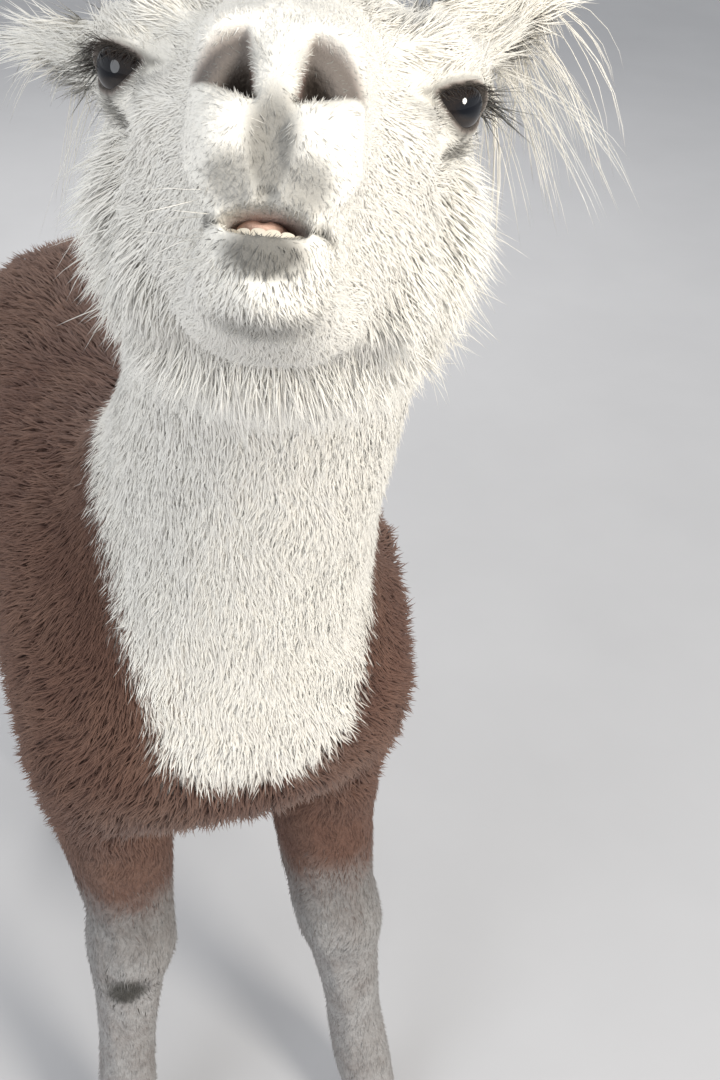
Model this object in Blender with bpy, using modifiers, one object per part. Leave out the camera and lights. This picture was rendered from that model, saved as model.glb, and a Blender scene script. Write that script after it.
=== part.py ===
# A life-size llama standing with its head raised, as one still model.
# Metres, +Z up. The llama faces -Y, its left side is +X, and it stands on z = 0.
# The body is lofted from named sections, fused, and parted by thin cuts into head, neck, trunk, tail,
# legs and feet. Ears, eyes, teeth and toenails are made on their own.
import math

import bmesh
import bpy
import numpy as np
from mathutils import Matrix, Vector

GAP = 0.0004  # the width of a cut, and the clearance round an eye, an ear, a nail or the teeth
VOXEL = 0.0045  # grid of the fused body
BODY_TRIANGLES = 3900  # the fused body, before it is parted

# The head's own frame: origin midway between the eyes, x forward along the muzzle, y to its left, z up.
HEAD_PLACE = Vector((-0.016, -0.315, 1.417))
HEAD_YAW, HEAD_PITCH, HEAD_ROLL = math.radians(17), math.radians(34), math.radians(-5)

EYE_RADIUS = 0.0170
EYE_AT = Vector((0.002, 0.0695, 0.000))  # in the head's frame, mirrored for the other eye
EAR_LENGTH, EAR_WIDTH = 0.130, 0.052
EAR_ROOT = Vector((-0.085, 0.052, 0.046))
# The way each ear points, in the head's frame: the left ear is held up, the right ear out.
EAR_LINES = {1: Vector((-0.45, 0.68, 0.58)), -1: Vector((-0.60, 0.77, 0.12))}
EAR_BOW = 0.012  # how far the ear's middle bows back
EAR_POINTS = 14  # points round a section of the ear
# Ear sections: share of its length, half width and half thickness as shares of half its width, hollow.
EAR = (
    (-0.10, 0.50, 0.30, 0.00),
    (0.00, 0.58, 0.30, 0.05),
    (0.15, 0.80, 0.30, 0.20),
    (0.38, 1.00, 0.26, 0.30),
    (0.60, 0.92, 0.22, 0.28),
    (0.80, 0.64, 0.18, 0.18),
    (0.93, 0.34, 0.14, 0.06),
    (1.00, 0.12, 0.10, 0.00),
)
TOE_LENGTH, TOE_SPREAD = 0.088, 0.019  # a toe's length, and how far it stands from the foot's middle line
TOE_TURN, TOE_DIP = 0.012, 0.002
# Toe sections: share of its length in front of its root, half width, height.
TOE = (
    (-0.42, 0.0100, 0.030),
    (-0.30, 0.0160, 0.044),
    (0.00, 0.0185, 0.056),
    (0.35, 0.0185, 0.046),
    (0.60, 0.0165, 0.034),
    (0.72, 0.0100, 0.022),
)
# Nail sections: share of the toe's length, half width, bottom, top.
NAIL = (
    (0.50, 0.0100, 0.0060, 0.026),
    (0.62, 0.0105, 0.0045, 0.025),
    (0.76, 0.0085, 0.0035, 0.019),
    (0.88, 0.0055, 0.0030, 0.012),
    (0.96, 0.0020, 0.0030, 0.007),
)

# Trunk sections: y, top, bottom, half width.
TRUNK = (
    (-0.175, 0.885, 0.790, 0.050),
    (-0.150, 0.950, 0.725, 0.118),
    (-0.100, 0.995, 0.670, 0.163),
    (0.000, 1.030, 0.628, 0.190),
    (0.110, 1.040, 0.598, 0.192),
    (0.240, 1.012, 0.575, 0.193),
    (0.380, 0.994, 0.578, 0.194),
    (0.520, 0.982, 0.615, 0.186),
    (0.620, 0.958, 0.655, 0.170),
    (0.700, 0.908, 0.690, 0.132),
    (0.745, 0.850, 0.740, 0.070),
)
# Neck sections: centre x, y, z, half depth, half width, lean back from level in degrees.
NECK = (
    (0.004, 0.020, 0.860, 0.175, 0.165, 30),
    (0.006, -0.030, 0.950, 0.160, 0.128, 30),
    (0.012, -0.085, 1.055, 0.126, 0.106, 27),
    (0.020, -0.138, 1.165, 0.108, 0.099, 25),
    (0.022, -0.183, 1.265, 0.102, 0.102, 24),
    (0.017, -0.212, 1.335, 0.092, 0.102, 24),
    (0.016, -0.228, 1.385, 0.058, 0.076, 24),
)
# Head sections along the muzzle: x, top, bottom, half width.
HEAD = (
    (-0.130, 0.020, -0.040, 0.030),
    (-0.110, 0.046, -0.080, 0.062),
    (-0.070, 0.062, -0.108, 0.076),
    (-0.030, 0.062, -0.118, 0.077),
    (0.000, 0.052, -0.117, 0.071),
    (0.035, 0.032, -0.108, 0.054),
    (0.070, 0.014, -0.098, 0.042),
    (0.100, 0.001, -0.090, 0.035),
    (0.128, -0.010, -0.087, 0.0320),
    (0.148, -0.017, -0.086, 0.0310),
    (0.160, -0.026, -0.080, 0.0260),
    (0.166, -0.042, -0.064, 0.0110),
)
# Lower jaw sections: x, top, bottom, half width.
JAW = (
    (-0.060, -0.060, -0.118, 0.050),
    (0.000, -0.070, -0.128, 0.045),
    (0.050, -0.080, -0.126, 0.036),
    (0.100, -0.086, -0.124, 0.0300),
    (0.128, -0.0885, -0.121, 0.0270),
    (0.142, -0.0900, -0.113, 0.0225),
    (0.149, -0.0930, -0.106, 0.0120),
)
# Rounded masses of the head: centre and half sizes in its frame, made on both sides where y isn't 0.
HEAD_MASSES = {
    "cheek_wool": ((-0.085, 0.000, -0.042), (0.062, 0.107, 0.090)),
    "throat_wool": ((-0.085, 0.000, -0.090), (0.062, 0.088, 0.056)),
    "brow": ((-0.004, 0.057, 0.021), (0.038, 0.022, 0.016)),
    "cheek_bone": ((0.014, 0.050, -0.030), (0.052, 0.020, 0.020)),
    "jaw_muscle": ((-0.035, 0.058, -0.070), (0.042, 0.022, 0.042)),
    "upper_lip": ((0.140, 0.0165, -0.066), (0.021, 0.0170, 0.0225)),
    "nostril_wing": ((0.142, 0.0180, -0.033), (0.021, 0.0135, 0.0145)),
    "nose_bridge": ((0.126, 0.000, -0.022), (0.034, 0.012, 0.012)),
    "chin": ((0.124, 0.000, -0.108), (0.024, 0.024, 0.0150)),
    "forelock": ((-0.050, 0.000, 0.056), (0.050, 0.046, 0.026)),
}
# The mouth: how far back it runs, its height in the middle, and how much the corners drop.
MOUTH_BACK, MOUTH_FRONT, MOUTH_HALF_WIDTH = 0.094, 0.185, 0.0262
MOUTH_LEVEL, MOUTH_OPEN, MOUTH_DROP = -0.0875, 0.0042, 0.0040
TEETH, TEETH_ARC = 6, math.radians(74)
TEETH_BACK, TEETH_REACH = 0.1190, 0.0205  # the middle of the teeth's arc, and its radius

# Foreleg, from the shoulder down: outward from the middle, y, z, half width, half depth.
FORELEG = (
    (0.112, 0.010, 0.880, 0.058, 0.110),
    (0.120, -0.026, 0.770, 0.072, 0.105),
    (0.114, 0.005, 0.670, 0.064, 0.088),
    (0.107, 0.012, 0.570, 0.060, 0.068),
    (0.107, 0.008, 0.450, 0.051, 0.053),
    (0.112, 0.000, 0.385, 0.053, 0.056),
    (0.119, 0.004, 0.325, 0.043, 0.046),
    (0.128, 0.004, 0.220, 0.036, 0.040),
    (0.137, -0.004, 0.115, 0.038, 0.042),
    (0.141, -0.024, 0.065, 0.034, 0.040),
    (0.142, -0.034, 0.022, 0.034, 0.036),
)
# Hind leg, from the hip down.
HIND_LEG = (
    (0.095, 0.580, 0.860, 0.066, 0.125),
    (0.112, 0.585, 0.750, 0.076, 0.140),
    (0.112, 0.570, 0.650, 0.064, 0.112),
    (0.106, 0.608, 0.555, 0.050, 0.078),
    (0.102, 0.664, 0.470, 0.036, 0.053),
    (0.102, 0.686, 0.415, 0.039, 0.052),
    (0.103, 0.684, 0.350, 0.033, 0.041),
    (0.105, 0.672, 0.240, 0.030, 0.035),
    (0.107, 0.656, 0.115, 0.035, 0.040),
    (0.108, 0.638, 0.065, 0.033, 0.038),
    (0.109, 0.628, 0.022, 0.033, 0.035),
)
# How far each leg is set from those lines, outward and in y: at the knee or hock, and at the foot.
STANCE = {
    "foreleg_left": ((0.016, -0.022), (0.025, -0.040)),
    "foreleg_right": ((-0.008, 0.013), (-0.002, -0.014)),
    "hind_leg_left": ((0.004, 0.020), (0.008, 0.036)),
    "hind_leg_right": ((0.002, -0.022), (0.004, -0.044)),
}
STANCE_TOP, STANCE_JOINT = 0.66, 0.40  # the heights where a step begins, and of the knee or hock
# Tail sections: y, z, half width, half depth.
TAIL = (
    (0.670, 0.880, 0.045, 0.040),
    (0.730, 0.868, 0.046, 0.040),
    (0.786, 0.838, 0.048, 0.040),
    (0.820, 0.778, 0.048, 0.040),
    (0.830, 0.710, 0.043, 0.036),
    (0.829, 0.655, 0.028, 0.024),
    (0.828, 0.632, 0.010, 0.010),
)
# Cuts across the body: a point, and the way the cut faces.
NECK_CUT = (Vector((0, -0.070, 0.930)), Vector((0, -0.735, 0.678)))
TAIL_CUT = (Vector((0, 0.752, 0.858)), Vector((0, 0.90, 0.20)))
HEAD_CUT = (Vector((-0.108, 0, -0.060)), Vector((0.93, 0, 0.36)))  # in the head's frame
# The space that a leg is parted along: out, y, z, half width, half depth. It closes over the shoulder or hip.
FORE_REGION = (
    (0.150, 0.000, -0.060, 0.146, 0.200),
    (0.150, 0.000, 0.560, 0.146, 0.200),
    (0.158, -0.004, 0.650, 0.128, 0.140),
    (0.168, -0.010, 0.740, 0.102, 0.122),
    (0.178, -0.008, 0.820, 0.080, 0.100),
    (0.186, -0.004, 0.880, 0.050, 0.055),
)
HIND_REGION = (
    (0.150, 0.640, -0.060, 0.146, 0.240),
    (0.150, 0.640, 0.540, 0.146, 0.210),
    (0.156, 0.590, 0.640, 0.130, 0.170),
    (0.164, 0.585, 0.740, 0.110, 0.155),
    (0.172, 0.590, 0.820, 0.088, 0.115),
    (0.180, 0.595, 0.880, 0.050, 0.060),
)
# What each piece of the parted body is known by: a point near its middle.
PLACES = {
    "head": (-0.03, -0.33, 1.38),
    "neck": (0.0, -0.13, 1.15),
    "trunk": (0.0, 0.30, 0.82),
    "tail": (0.0, 0.81, 0.75),
    "foreleg_left": (0.13, -0.01, 0.50),
    "foreleg_right": (-0.13, -0.01, 0.50),
    "hind_leg_left": (0.11, 0.64, 0.50),
    "hind_leg_right": (-0.11, 0.60, 0.50),
}
# Finish of each kind of piece: colour, roughness.
FINISHES = {
    "head": ((0.80, 0.77, 0.70), 0.85),
    "neck": ((0.80, 0.77, 0.70), 0.85),
    "trunk": ((0.28, 0.13, 0.09), 0.90),
    "tail": ((0.28, 0.13, 0.09), 0.90),
    "foreleg": ((0.45, 0.36, 0.31), 0.90),
    "hind_leg": ((0.34, 0.20, 0.15), 0.90),
    "ear": ((0.80, 0.77, 0.70), 0.85),
    "eye": ((0.012, 0.013, 0.025), 0.08),
    "nail": ((0.05, 0.04, 0.035), 0.40),
    "incisors": ((0.80, 0.74, 0.60), 0.30),
}


def clear_scene():
    for old in list(bpy.data.objects):
        bpy.data.objects.remove(old, do_unlink=True)


def new_collection(name):
    made = bpy.data.collections.new(name)
    bpy.context.scene.collection.children.link(made)
    return made


def new_object(name, mesh):
    data = bpy.data.meshes.new(name)
    mesh.to_mesh(data)
    mesh.free()
    made = bpy.data.objects.new(name, data)
    bpy.context.scene.collection.objects.link(made)
    return made


def head_frame():
    """The matrix from the head's frame to the world."""
    forward = Vector((-math.sin(HEAD_YAW) * math.cos(HEAD_PITCH), -math.cos(HEAD_YAW) * math.cos(HEAD_PITCH),
                      math.sin(HEAD_PITCH)))
    level_left = Vector((math.cos(HEAD_YAW), -math.sin(HEAD_YAW), 0.0))
    level_up = forward.cross(level_left)
    left = level_left * math.cos(HEAD_ROLL) + level_up * math.sin(HEAD_ROLL)
    up = forward.cross(left)
    turned = Matrix((forward, left, up)).transposed().to_4x4()
    return Matrix.Translation(HEAD_PLACE) @ turned


def between(rows, steps=4):
    """Rows of numbers joined by a smooth Catmull-Rom curve, with a number of steps between each two."""
    rows = np.array(rows, float)
    padded = np.vstack([2 * rows[0] - rows[1], rows, 2 * rows[-1] - rows[-2]])
    made = []
    for i in range(1, len(rows)):
        a, b, c, d = padded[i - 1 : i + 3]
        for t in np.arange(steps) / steps:
            bend = (c - a) * t + (2 * a - 5 * b + 4 * c - d) * t**2 + (3 * b - a - 3 * c + d) * t**3
            made.append(b + bend / 2)
    made.append(rows[-1])
    return made


def oval(centre, side, rise, square=2.0, points=28):
    """Points round a section. side and rise are vectors from its centre; a square over 2 fills out the corners."""
    ring = []
    for i in range(points):
        angle = math.tau * i / points
        c, s = math.cos(angle), math.sin(angle)
        across = math.copysign(abs(c) ** (2 / square), c)
        along = math.copysign(abs(s) ** (2 / square), s)
        ring.append(centre + side * across + rise * along)
    return ring


def loft(name, rings, matrix=None):
    """A closed surface through rings of equal length, with both ends drawn to a point."""
    mesh = bmesh.new()
    made = [[mesh.verts.new(point) for point in ring] for ring in rings]
    for low, high in zip(made, made[1:]):
        for i in range(len(low)):
            j = (i + 1) % len(low)
            mesh.faces.new((low[i], low[j], high[j], high[i]))
    for ring in (made[0], made[-1]):
        centre = sum((vert.co for vert in ring), Vector()) / len(ring)
        pole = mesh.verts.new(centre)
        for i in range(len(ring)):
            mesh.faces.new((ring[i], ring[(i + 1) % len(ring)], pole))
    if matrix is not None:
        mesh.transform(matrix)
    bmesh.ops.recalc_face_normals(mesh, faces=mesh.faces)
    return new_object(name, mesh)


def ball(name, centre, half_sizes, matrix, segments=14, rings=8):
    """An ellipsoid in the given frame."""
    mesh = bmesh.new()
    bmesh.ops.create_uvsphere(mesh, u_segments=segments, v_segments=rings, radius=1.0)
    mesh.transform(matrix @ Matrix.Translation(centre) @ Matrix.Diagonal((*half_sizes, 1.0)))
    bmesh.ops.recalc_face_normals(mesh, faces=mesh.faces)
    return new_object(name, mesh)


def trunk_form():
    rings = []
    for y, top, bottom, half_width in between(TRUNK):
        centre = Vector((0, y, (top + bottom) / 2))
        rings.append(oval(centre, Vector((half_width, 0, 0)), Vector((0, 0, (top - bottom) / 2)), square=2.3))
    return loft("trunk_form", rings)


def neck_form():
    rings = []
    for x, y, z, half_depth, half_width, lean in between(NECK):
        tilt = math.radians(lean)
        rise = Vector((0, math.cos(tilt), math.sin(tilt))) * half_depth
        rings.append(oval(Vector((x, y, z)), Vector((half_width, 0, 0)), rise, square=2.1))
    return loft("neck_form", rings)


def tail_form():
    rows = between(TAIL)
    rings = []
    for i, (y, z, half_width, half_depth) in enumerate(rows):
        before, after = rows[max(i - 1, 0)], rows[min(i + 1, len(rows) - 1)]
        along = Vector((0, after[0] - before[0], after[1] - before[1])).normalized()
        rise = Vector((0, -along.z, along.y)) * half_depth
        rings.append(oval(Vector((0, y, z)), Vector((half_width, 0, 0)), rise, points=18))
    return loft("tail_form", rings)


def muzzle_loft(name, table, square):
    """A loft along the head's own x axis."""
    rings = []
    for x, top, bottom, half_width in between(table):
        centre = Vector((x, 0, (top + bottom) / 2))
        rings.append(oval(centre, Vector((0, half_width, 0)), Vector((0, 0, (top - bottom) / 2)), square))
    return loft(name, rings, head_frame())


def head_forms():
    made = [muzzle_loft("skull_form", HEAD, 2.25), muzzle_loft("jaw_form", JAW, 2.3)]
    for name, (centre, half_sizes) in HEAD_MASSES.items():
        for side in (1, -1) if centre[1] else (1,):
            place = Vector((centre[0], centre[1] * side, centre[2]))
            made.append(ball(f"{name}_{side}", place, half_sizes, head_frame()))
    return made


def leg_places(name):
    """A leg's sections in the world: centre x, y, z, half width, half depth."""
    table = FORELEG if name.startswith("fore") else HIND_LEG
    sign = 1 if name.endswith("left") else -1
    heights = (0.0, STANCE_JOINT, STANCE_TOP)
    at_joint, at_foot = STANCE[name]
    rows = []
    for out, y, z, half_width, half_depth in table:
        out += np.interp(z, heights, (at_foot[0], at_joint[0], 0.0))
        y += np.interp(z, heights, (at_foot[1], at_joint[1], 0.0))
        rows.append((sign * out, y, z, half_width, half_depth))
    return rows


def upright_loft(name, rows, square=2.1, points=20):
    """A loft of level sections: centre x, y, z, half width, half depth."""
    rings = []
    for x, y, z, half_width, half_depth in rows:
        rings.append(oval(Vector((x, y, z)), Vector((half_width, 0, 0)), Vector((0, half_depth, 0)), square, points))
    return loft(name, rings)


def toe_roots(name):
    """Where each of a foot's two toes starts, on the floor, with the way it turns out."""
    x, y = leg_places(name)[-1][:2]
    return [(Vector((x + turn * TOE_SPREAD, y, 0)), turn) for turn in (-1, 1)]


def along_toe(root, turn, share, height):
    """A point at this share of a toe's length in front of its root."""
    return root + Vector((turn * share * TOE_TURN, -share * TOE_LENGTH, height))


def toe_form(name, root, turn):
    """A toe on a broad pad. It dips just under the floor, to be cut flat there."""
    rings = []
    for share, half_width, height in TOE:
        centre = along_toe(root, turn, share, height / 2 - TOE_DIP)
        rings.append(oval(centre, Vector((half_width, 0, 0)), Vector((0, 0, height / 2 + TOE_DIP)), 2.6, 16))
    return loft(name, rings)


def nail_form(name, root, turn):
    """The curved toenail at the tip of a toe, clear of the floor."""
    rings = []
    for share, half_width, low, high in NAIL:
        centre = along_toe(root, turn, share, (low + high) / 2)
        rings.append(oval(centre, Vector((half_width, 0, 0)), Vector((0, 0, (high - low) / 2)), 2.2, 8))
    return loft(name, rings)


def ear_form(name, side):
    """A long ear, hollow on the side that faces forward, broad in the middle, with a narrow tip."""
    along = EAR_LINES[side].normalized()
    front = (Vector((1, 0, 0)) - along * along.x).normalized()
    broad = along.cross(front)
    rings = []
    for share, half_width, half_thickness, cup in EAR:
        bow = EAR_BOW * math.sin(math.pi * max(share, 0.0))
        centre = EAR_ROOT + along * (share * EAR_LENGTH) - front * bow
        ring = []
        for i in range(EAR_POINTS):
            angle = math.tau * i / EAR_POINTS
            c, s = math.cos(angle), math.sin(angle)
            hollow = cup * EAR_WIDTH * (1 - c * c) * (1.0 if s > 0 else 0.55)
            point = centre + (broad * half_width * c + front * half_thickness * s) * EAR_WIDTH / 2 - front * hollow
            ring.append(Vector((point.x, point.y * side, point.z)))
        rings.append(ring)
    return loft(name, rings, head_frame())


def mouth_form():
    """The slot between the lips: thin ovals side by side, highest in the middle, and lower at the corners."""
    rings = []
    for share in (-1.0, -0.9, -0.7, -0.45, -0.2, 0.0, 0.2, 0.45, 0.7, 0.9, 1.0):
        half_height = MOUTH_OPEN * math.sqrt(1.04 - share**2)
        back = MOUTH_BACK + 0.016 * share**2
        centre = Vector(((back + MOUTH_FRONT) / 2, share * MOUTH_HALF_WIDTH, MOUTH_LEVEL - MOUTH_DROP * share**2))
        half_length = Vector(((MOUTH_FRONT - back) / 2, 0, 0))
        rings.append(oval(centre, half_length, Vector((0, 0, half_height)), points=20))
    return loft("mouth", rings, head_frame())


def incisors_form():
    """The lower front teeth, side by side on an arc, one piece down to the gum."""
    rings = []
    steps = TEETH * 3
    for i in range(steps + 1):
        angle = TEETH_ARC * (2 * i / steps - 1) / 2
        notch = abs(math.sin(math.pi * TEETH * i / steps)) ** 0.35
        top = MOUTH_LEVEL - 0.0052 + 0.0030 * notch - 0.0012 * abs(angle)
        outward = Vector((math.cos(angle), math.sin(angle), 0))
        ring = []
        for reach, height in ((-0.0020, -0.0070), (0.0012, -0.0070), (0.0030, -0.0020), (0.0022, 0.0), (-0.0002, 0.0)):
            level = top + height if height else top
            ring.append(Vector((TEETH_BACK, 0, 0)) + outward * (TEETH_REACH + reach) + Vector((0, 0, level)))
        rings.append(ring)
    return loft("incisors", rings, head_frame())


def join(name, objects):
    """Joins meshes into one object."""
    mesh = bmesh.new()
    for part in objects:
        mesh.from_mesh(part.data)
        bpy.data.objects.remove(part, do_unlink=True)
    return new_object(name, mesh)


def add_modifier(thing, name, kind, **settings):
    modifier = thing.modifiers.new(name, kind)
    for key, value in settings.items():
        setattr(modifier, key, value)


def settle(thing):
    """Gives an object its evaluated mesh, so that its modifiers are spent."""
    graph = bpy.context.evaluated_depsgraph_get()
    evaluated = bpy.data.meshes.new_from_object(thing.evaluated_get(graph))
    thing.modifiers.clear()
    thing.data = evaluated


def cut(thing, cutter, cutters):
    """Takes a cutter out of a thing. The cutter stays in its collection, drawn as a wire."""
    move_to(cutter, cutters)
    cutter.hide_render = True
    cutter.display_type = "WIRE"
    add_modifier(thing, "cut", "BOOLEAN", object=cutter, operation="DIFFERENCE", solver="EXACT")
    settle(thing)


def move_to(thing, place):
    for old in list(thing.users_collection):
        old.objects.unlink(thing)
    place.objects.link(thing)


def fused_body():
    """All soft forms fused on a fine grid, eased where they meet, and thinned out to few triangles."""
    forms = [trunk_form(), neck_form(), tail_form(), *head_forms()]
    for name in STANCE:
        forms.append(upright_loft(f"{name}_form", between(leg_places(name))))
        for root, turn in toe_roots(name):
            forms.append(toe_form(f"{name}_toe", root, turn))
    body = join("body", forms)
    add_modifier(body, "fuse", "REMESH", mode="VOXEL", voxel_size=VOXEL)
    settle(body)
    ease = body.vertex_groups.new(name="ease")
    thin_out = body.vertex_groups.new(name="thin_out")
    to_head = head_frame().inverted()
    for vert in body.data.vertices:
        on_head = np.interp((to_head @ vert.co).x, (-0.11, -0.03, 0.10), (0.0, 0.5, 0.85))
        on_foot = np.interp(vert.co.z, (0.08, 0.14), (1.0, 0.0))
        ease.add([vert.index], 1.0 - 0.85 * max(on_head, on_foot), "REPLACE")
        thin_out.add([vert.index], 1.0 - 0.9 * max(on_head, 0.8 * on_foot), "REPLACE")
    add_modifier(body, "ease", "SMOOTH", factor=0.6, iterations=22, vertex_group="ease")
    add_modifier(body, "thin_out", "DECIMATE", ratio=BODY_TRIANGLES / (2 * len(body.data.polygons)),
                 vertex_group="thin_out", vertex_group_factor=0.5)
    settle(body)
    return body


def slab(name, centre, facing, half_size=0.30):
    """A thin square cutter across the body."""
    mesh = bmesh.new()
    bmesh.ops.create_cube(mesh, size=1.0)
    turned = facing.to_track_quat("Z", "Y").to_matrix().to_4x4()
    mesh.transform(Matrix.Translation(centre) @ turned @ Matrix.Diagonal((2 * half_size, 2 * half_size, GAP, 1.0)))
    return new_object(name, mesh)


def region_shell(name):
    """A thin closed shell round the space that holds a leg."""
    sign = 1 if name.endswith("left") else -1
    table = FORE_REGION if name.startswith("fore") else HIND_REGION
    rows = [(sign * out, *rest) for out, *rest in table]
    shell = upright_loft(f"{name}_shell", rows, square=2.6, points=16)
    add_modifier(shell, "flat_faces", "TRIANGULATE")
    add_modifier(shell, "shell", "SOLIDIFY", thickness=GAP, offset=1.0, use_even_offset=True)
    settle(shell)
    return shell


def floor_cutter():
    """Everything under z = 0, so that the soles are flat."""
    mesh = bmesh.new()
    bmesh.ops.create_cube(mesh, size=1.0)
    mesh.transform(Matrix.Translation((0, 0.3, -0.25)) @ Matrix.Diagonal((2.0, 3.0, 0.5, 1.0)))
    return new_object("floor_cutter", mesh)


def socket(piece):
    """A cutter a little larger than a piece all round, for the hollow that the piece sits in."""
    cutter = piece.copy()
    cutter.data = piece.data.copy()
    cutter.name = f"{piece.name}_socket"
    bpy.context.scene.collection.objects.link(cutter)
    mesh = bmesh.new()
    mesh.from_mesh(cutter.data)
    for vert in mesh.verts:
        vert.co += vert.normal * GAP * vert.calc_shell_factor()
    mesh.to_mesh(cutter.data)
    mesh.free()
    return cutter


def loose_pieces(thing):
    """Splits an object into its separate bodies, the largest first, as bmeshes."""
    mesh = bmesh.new()
    mesh.from_mesh(thing.data)
    mesh.faces.ensure_lookup_table()
    waiting = set(mesh.faces)
    groups = []
    while waiting:
        start = waiting.pop()
        group, front = {start}, [start]
        while front:
            face = front.pop()
            for edge in face.edges:
                for other in edge.link_faces:
                    if other in waiting:
                        waiting.remove(other)
                        group.add(other)
                        front.append(other)
        groups.append({face.index for face in group})
    mesh.free()
    made = []
    for group in sorted(groups, key=len, reverse=True):
        piece = bmesh.new()
        piece.from_mesh(thing.data)
        bmesh.ops.delete(piece, geom=[face for face in piece.faces if face.index not in group], context="FACES")
        made.append(piece)
    bpy.data.objects.remove(thing, do_unlink=True)
    return made


def name_pieces(meshes):
    """Names each body of the parted llama by the point in PLACES that its middle lies nearest to."""
    made = {}
    for mesh in meshes[: len(PLACES)]:
        low = Vector([min(vert.co[i] for vert in mesh.verts) for i in range(3)])
        high = Vector([max(vert.co[i] for vert in mesh.verts) for i in range(3)])
        middle = (low + high) / 2
        name = min(PLACES, key=lambda place: (Vector(PLACES[place]) - middle).length)
        made[name] = new_object(name, mesh)
    return made


def finish(thing):
    """The piece's own material."""
    kind = next(kind for kind in FINISHES if thing.name.startswith(kind))
    colour, roughness = FINISHES[kind]
    material = bpy.data.materials.new(thing.name)
    material.use_nodes = True
    shader = material.node_tree.nodes["Principled BSDF"]
    shader.inputs["Base Color"].default_value = (*colour, 1.0)
    shader.inputs["Roughness"].default_value = roughness
    shader.inputs["Metallic"].default_value = 0.0
    thing.data.materials.clear()
    thing.data.materials.append(material)


def stand_on_origin(things):
    """Moves the whole llama so that the middle of its box, at the floor, is the origin."""
    corners = np.array([vert.co for thing in things for vert in thing.data.vertices])
    low, high = corners.min(axis=0), corners.max(axis=0)
    shift = Matrix.Translation((-(low[0] + high[0]) / 2, -(low[1] + high[1]) / 2, -low[2]))
    for thing in things:
        thing.data.transform(shift)


def main():
    clear_scene()
    llama = new_collection("llama")
    cutters = new_collection("cutters")
    body = fused_body()
    small_parts = [incisors_form()]
    for side, sign in (("left", 1), ("right", -1)):
        small_parts.append(ear_form(f"ear_{side}", sign))
        eye_at = Vector((EYE_AT.x, EYE_AT.y * sign, EYE_AT.z))
        small_parts.append(ball(f"eye_{side}", eye_at, (EYE_RADIUS,) * 3, head_frame()))
    for leg in STANCE:
        for (root, turn), toe in zip(toe_roots(leg), "ab"):
            small_parts.append(nail_form(f"nail_{leg}_{toe}", root, turn))
    for cutter in (floor_cutter(), mouth_form(), *map(socket, small_parts)):
        cut(body, cutter, cutters)
    place, facing = HEAD_CUT
    turned = head_frame().to_3x3() @ facing
    for cutter in (slab("neck_cut", *NECK_CUT), slab("tail_cut", *TAIL_CUT, half_size=0.12),
                   slab("head_cut", head_frame() @ place, turned), *map(region_shell, STANCE)):
        cut(body, cutter, cutters)
    pieces = [*name_pieces(loose_pieces(body)).values(), *small_parts]
    for piece in pieces:
        move_to(piece, llama)
        finish(piece)
    stand_on_origin(pieces)


if __name__ == "__main__":
    main()
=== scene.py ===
import math

import bpy
import numpy as np
from mathutils import Matrix, Vector, kdtree


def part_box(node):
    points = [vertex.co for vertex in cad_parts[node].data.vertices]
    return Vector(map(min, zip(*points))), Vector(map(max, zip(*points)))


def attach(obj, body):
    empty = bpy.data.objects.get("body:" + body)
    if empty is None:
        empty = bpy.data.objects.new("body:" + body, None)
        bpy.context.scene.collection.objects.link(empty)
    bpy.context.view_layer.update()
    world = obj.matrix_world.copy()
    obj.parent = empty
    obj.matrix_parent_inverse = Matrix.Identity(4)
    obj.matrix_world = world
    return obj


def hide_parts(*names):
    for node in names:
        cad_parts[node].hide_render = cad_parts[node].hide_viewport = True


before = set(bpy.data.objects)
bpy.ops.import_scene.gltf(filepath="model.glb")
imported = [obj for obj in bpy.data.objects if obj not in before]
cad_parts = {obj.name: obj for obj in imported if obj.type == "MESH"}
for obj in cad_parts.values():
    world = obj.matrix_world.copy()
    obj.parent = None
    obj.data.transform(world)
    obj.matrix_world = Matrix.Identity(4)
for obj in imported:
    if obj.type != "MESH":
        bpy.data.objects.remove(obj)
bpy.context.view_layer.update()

headPose = {
    "yaw": 17.0,  # degrees to its right
    "pitch": 34.0,  # nose up
    "roll": -5.0,
    "eyesAhead": 0.002,  # the eyes' middle, ahead of the head's own origin
}


def vectorOf(*numbers):
    return np.array(numbers, float)


def unit(vector):
    return vector / np.linalg.norm(vector)


def unitRows(vectors):
    return vectors / np.maximum(np.linalg.norm(vectors, axis=1), 1e-9)[:, None]


def laidFlat(ways, out):
    # ways with what points out of the surface taken away
    return ways - out * (ways * out).sum(axis=1)[:, None]


def headAxes():
    # columns: forward along the muzzle, to its left, up through its brow
    yaw, pitch, roll = (math.radians(headPose[key]) for key in ("yaw", "pitch", "roll"))
    forward = vectorOf(-math.sin(yaw) * math.cos(pitch), -math.cos(yaw) * math.cos(pitch), math.sin(pitch))
    level = vectorOf(math.cos(yaw), -math.sin(yaw), 0)
    left = level * math.cos(roll) + np.cross(forward, level) * math.sin(roll)
    return np.column_stack((forward, left, np.cross(forward, left)))


def middleOf(node):
    low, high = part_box(node)
    return np.array((low + high) / 2)


headTurn = headAxes()
headPlace = (middleOf("eye_left") + middleOf("eye_right")) / 2 - headTurn[:, 0] * headPose["eyesAhead"]
bodyPlace = headPlace - vectorOf(-0.016, -0.315, 1.417)  # body measures are taken from under the withers
forwardWay, leftWay = headTurn.T[:2]
downWay = vectorOf(0, 0, -1)


def inHead(points):
    return (points - headPlace) @ headTurn


def fromHead(points):
    return np.asarray(points, float) @ headTurn.T + headPlace


def ease(value, low, high):
    # 0 below low, 1 above high, smooth between
    share = np.clip((value - low) / (high - low), 0, 1)
    return share * share * (3 - 2 * share)


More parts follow.
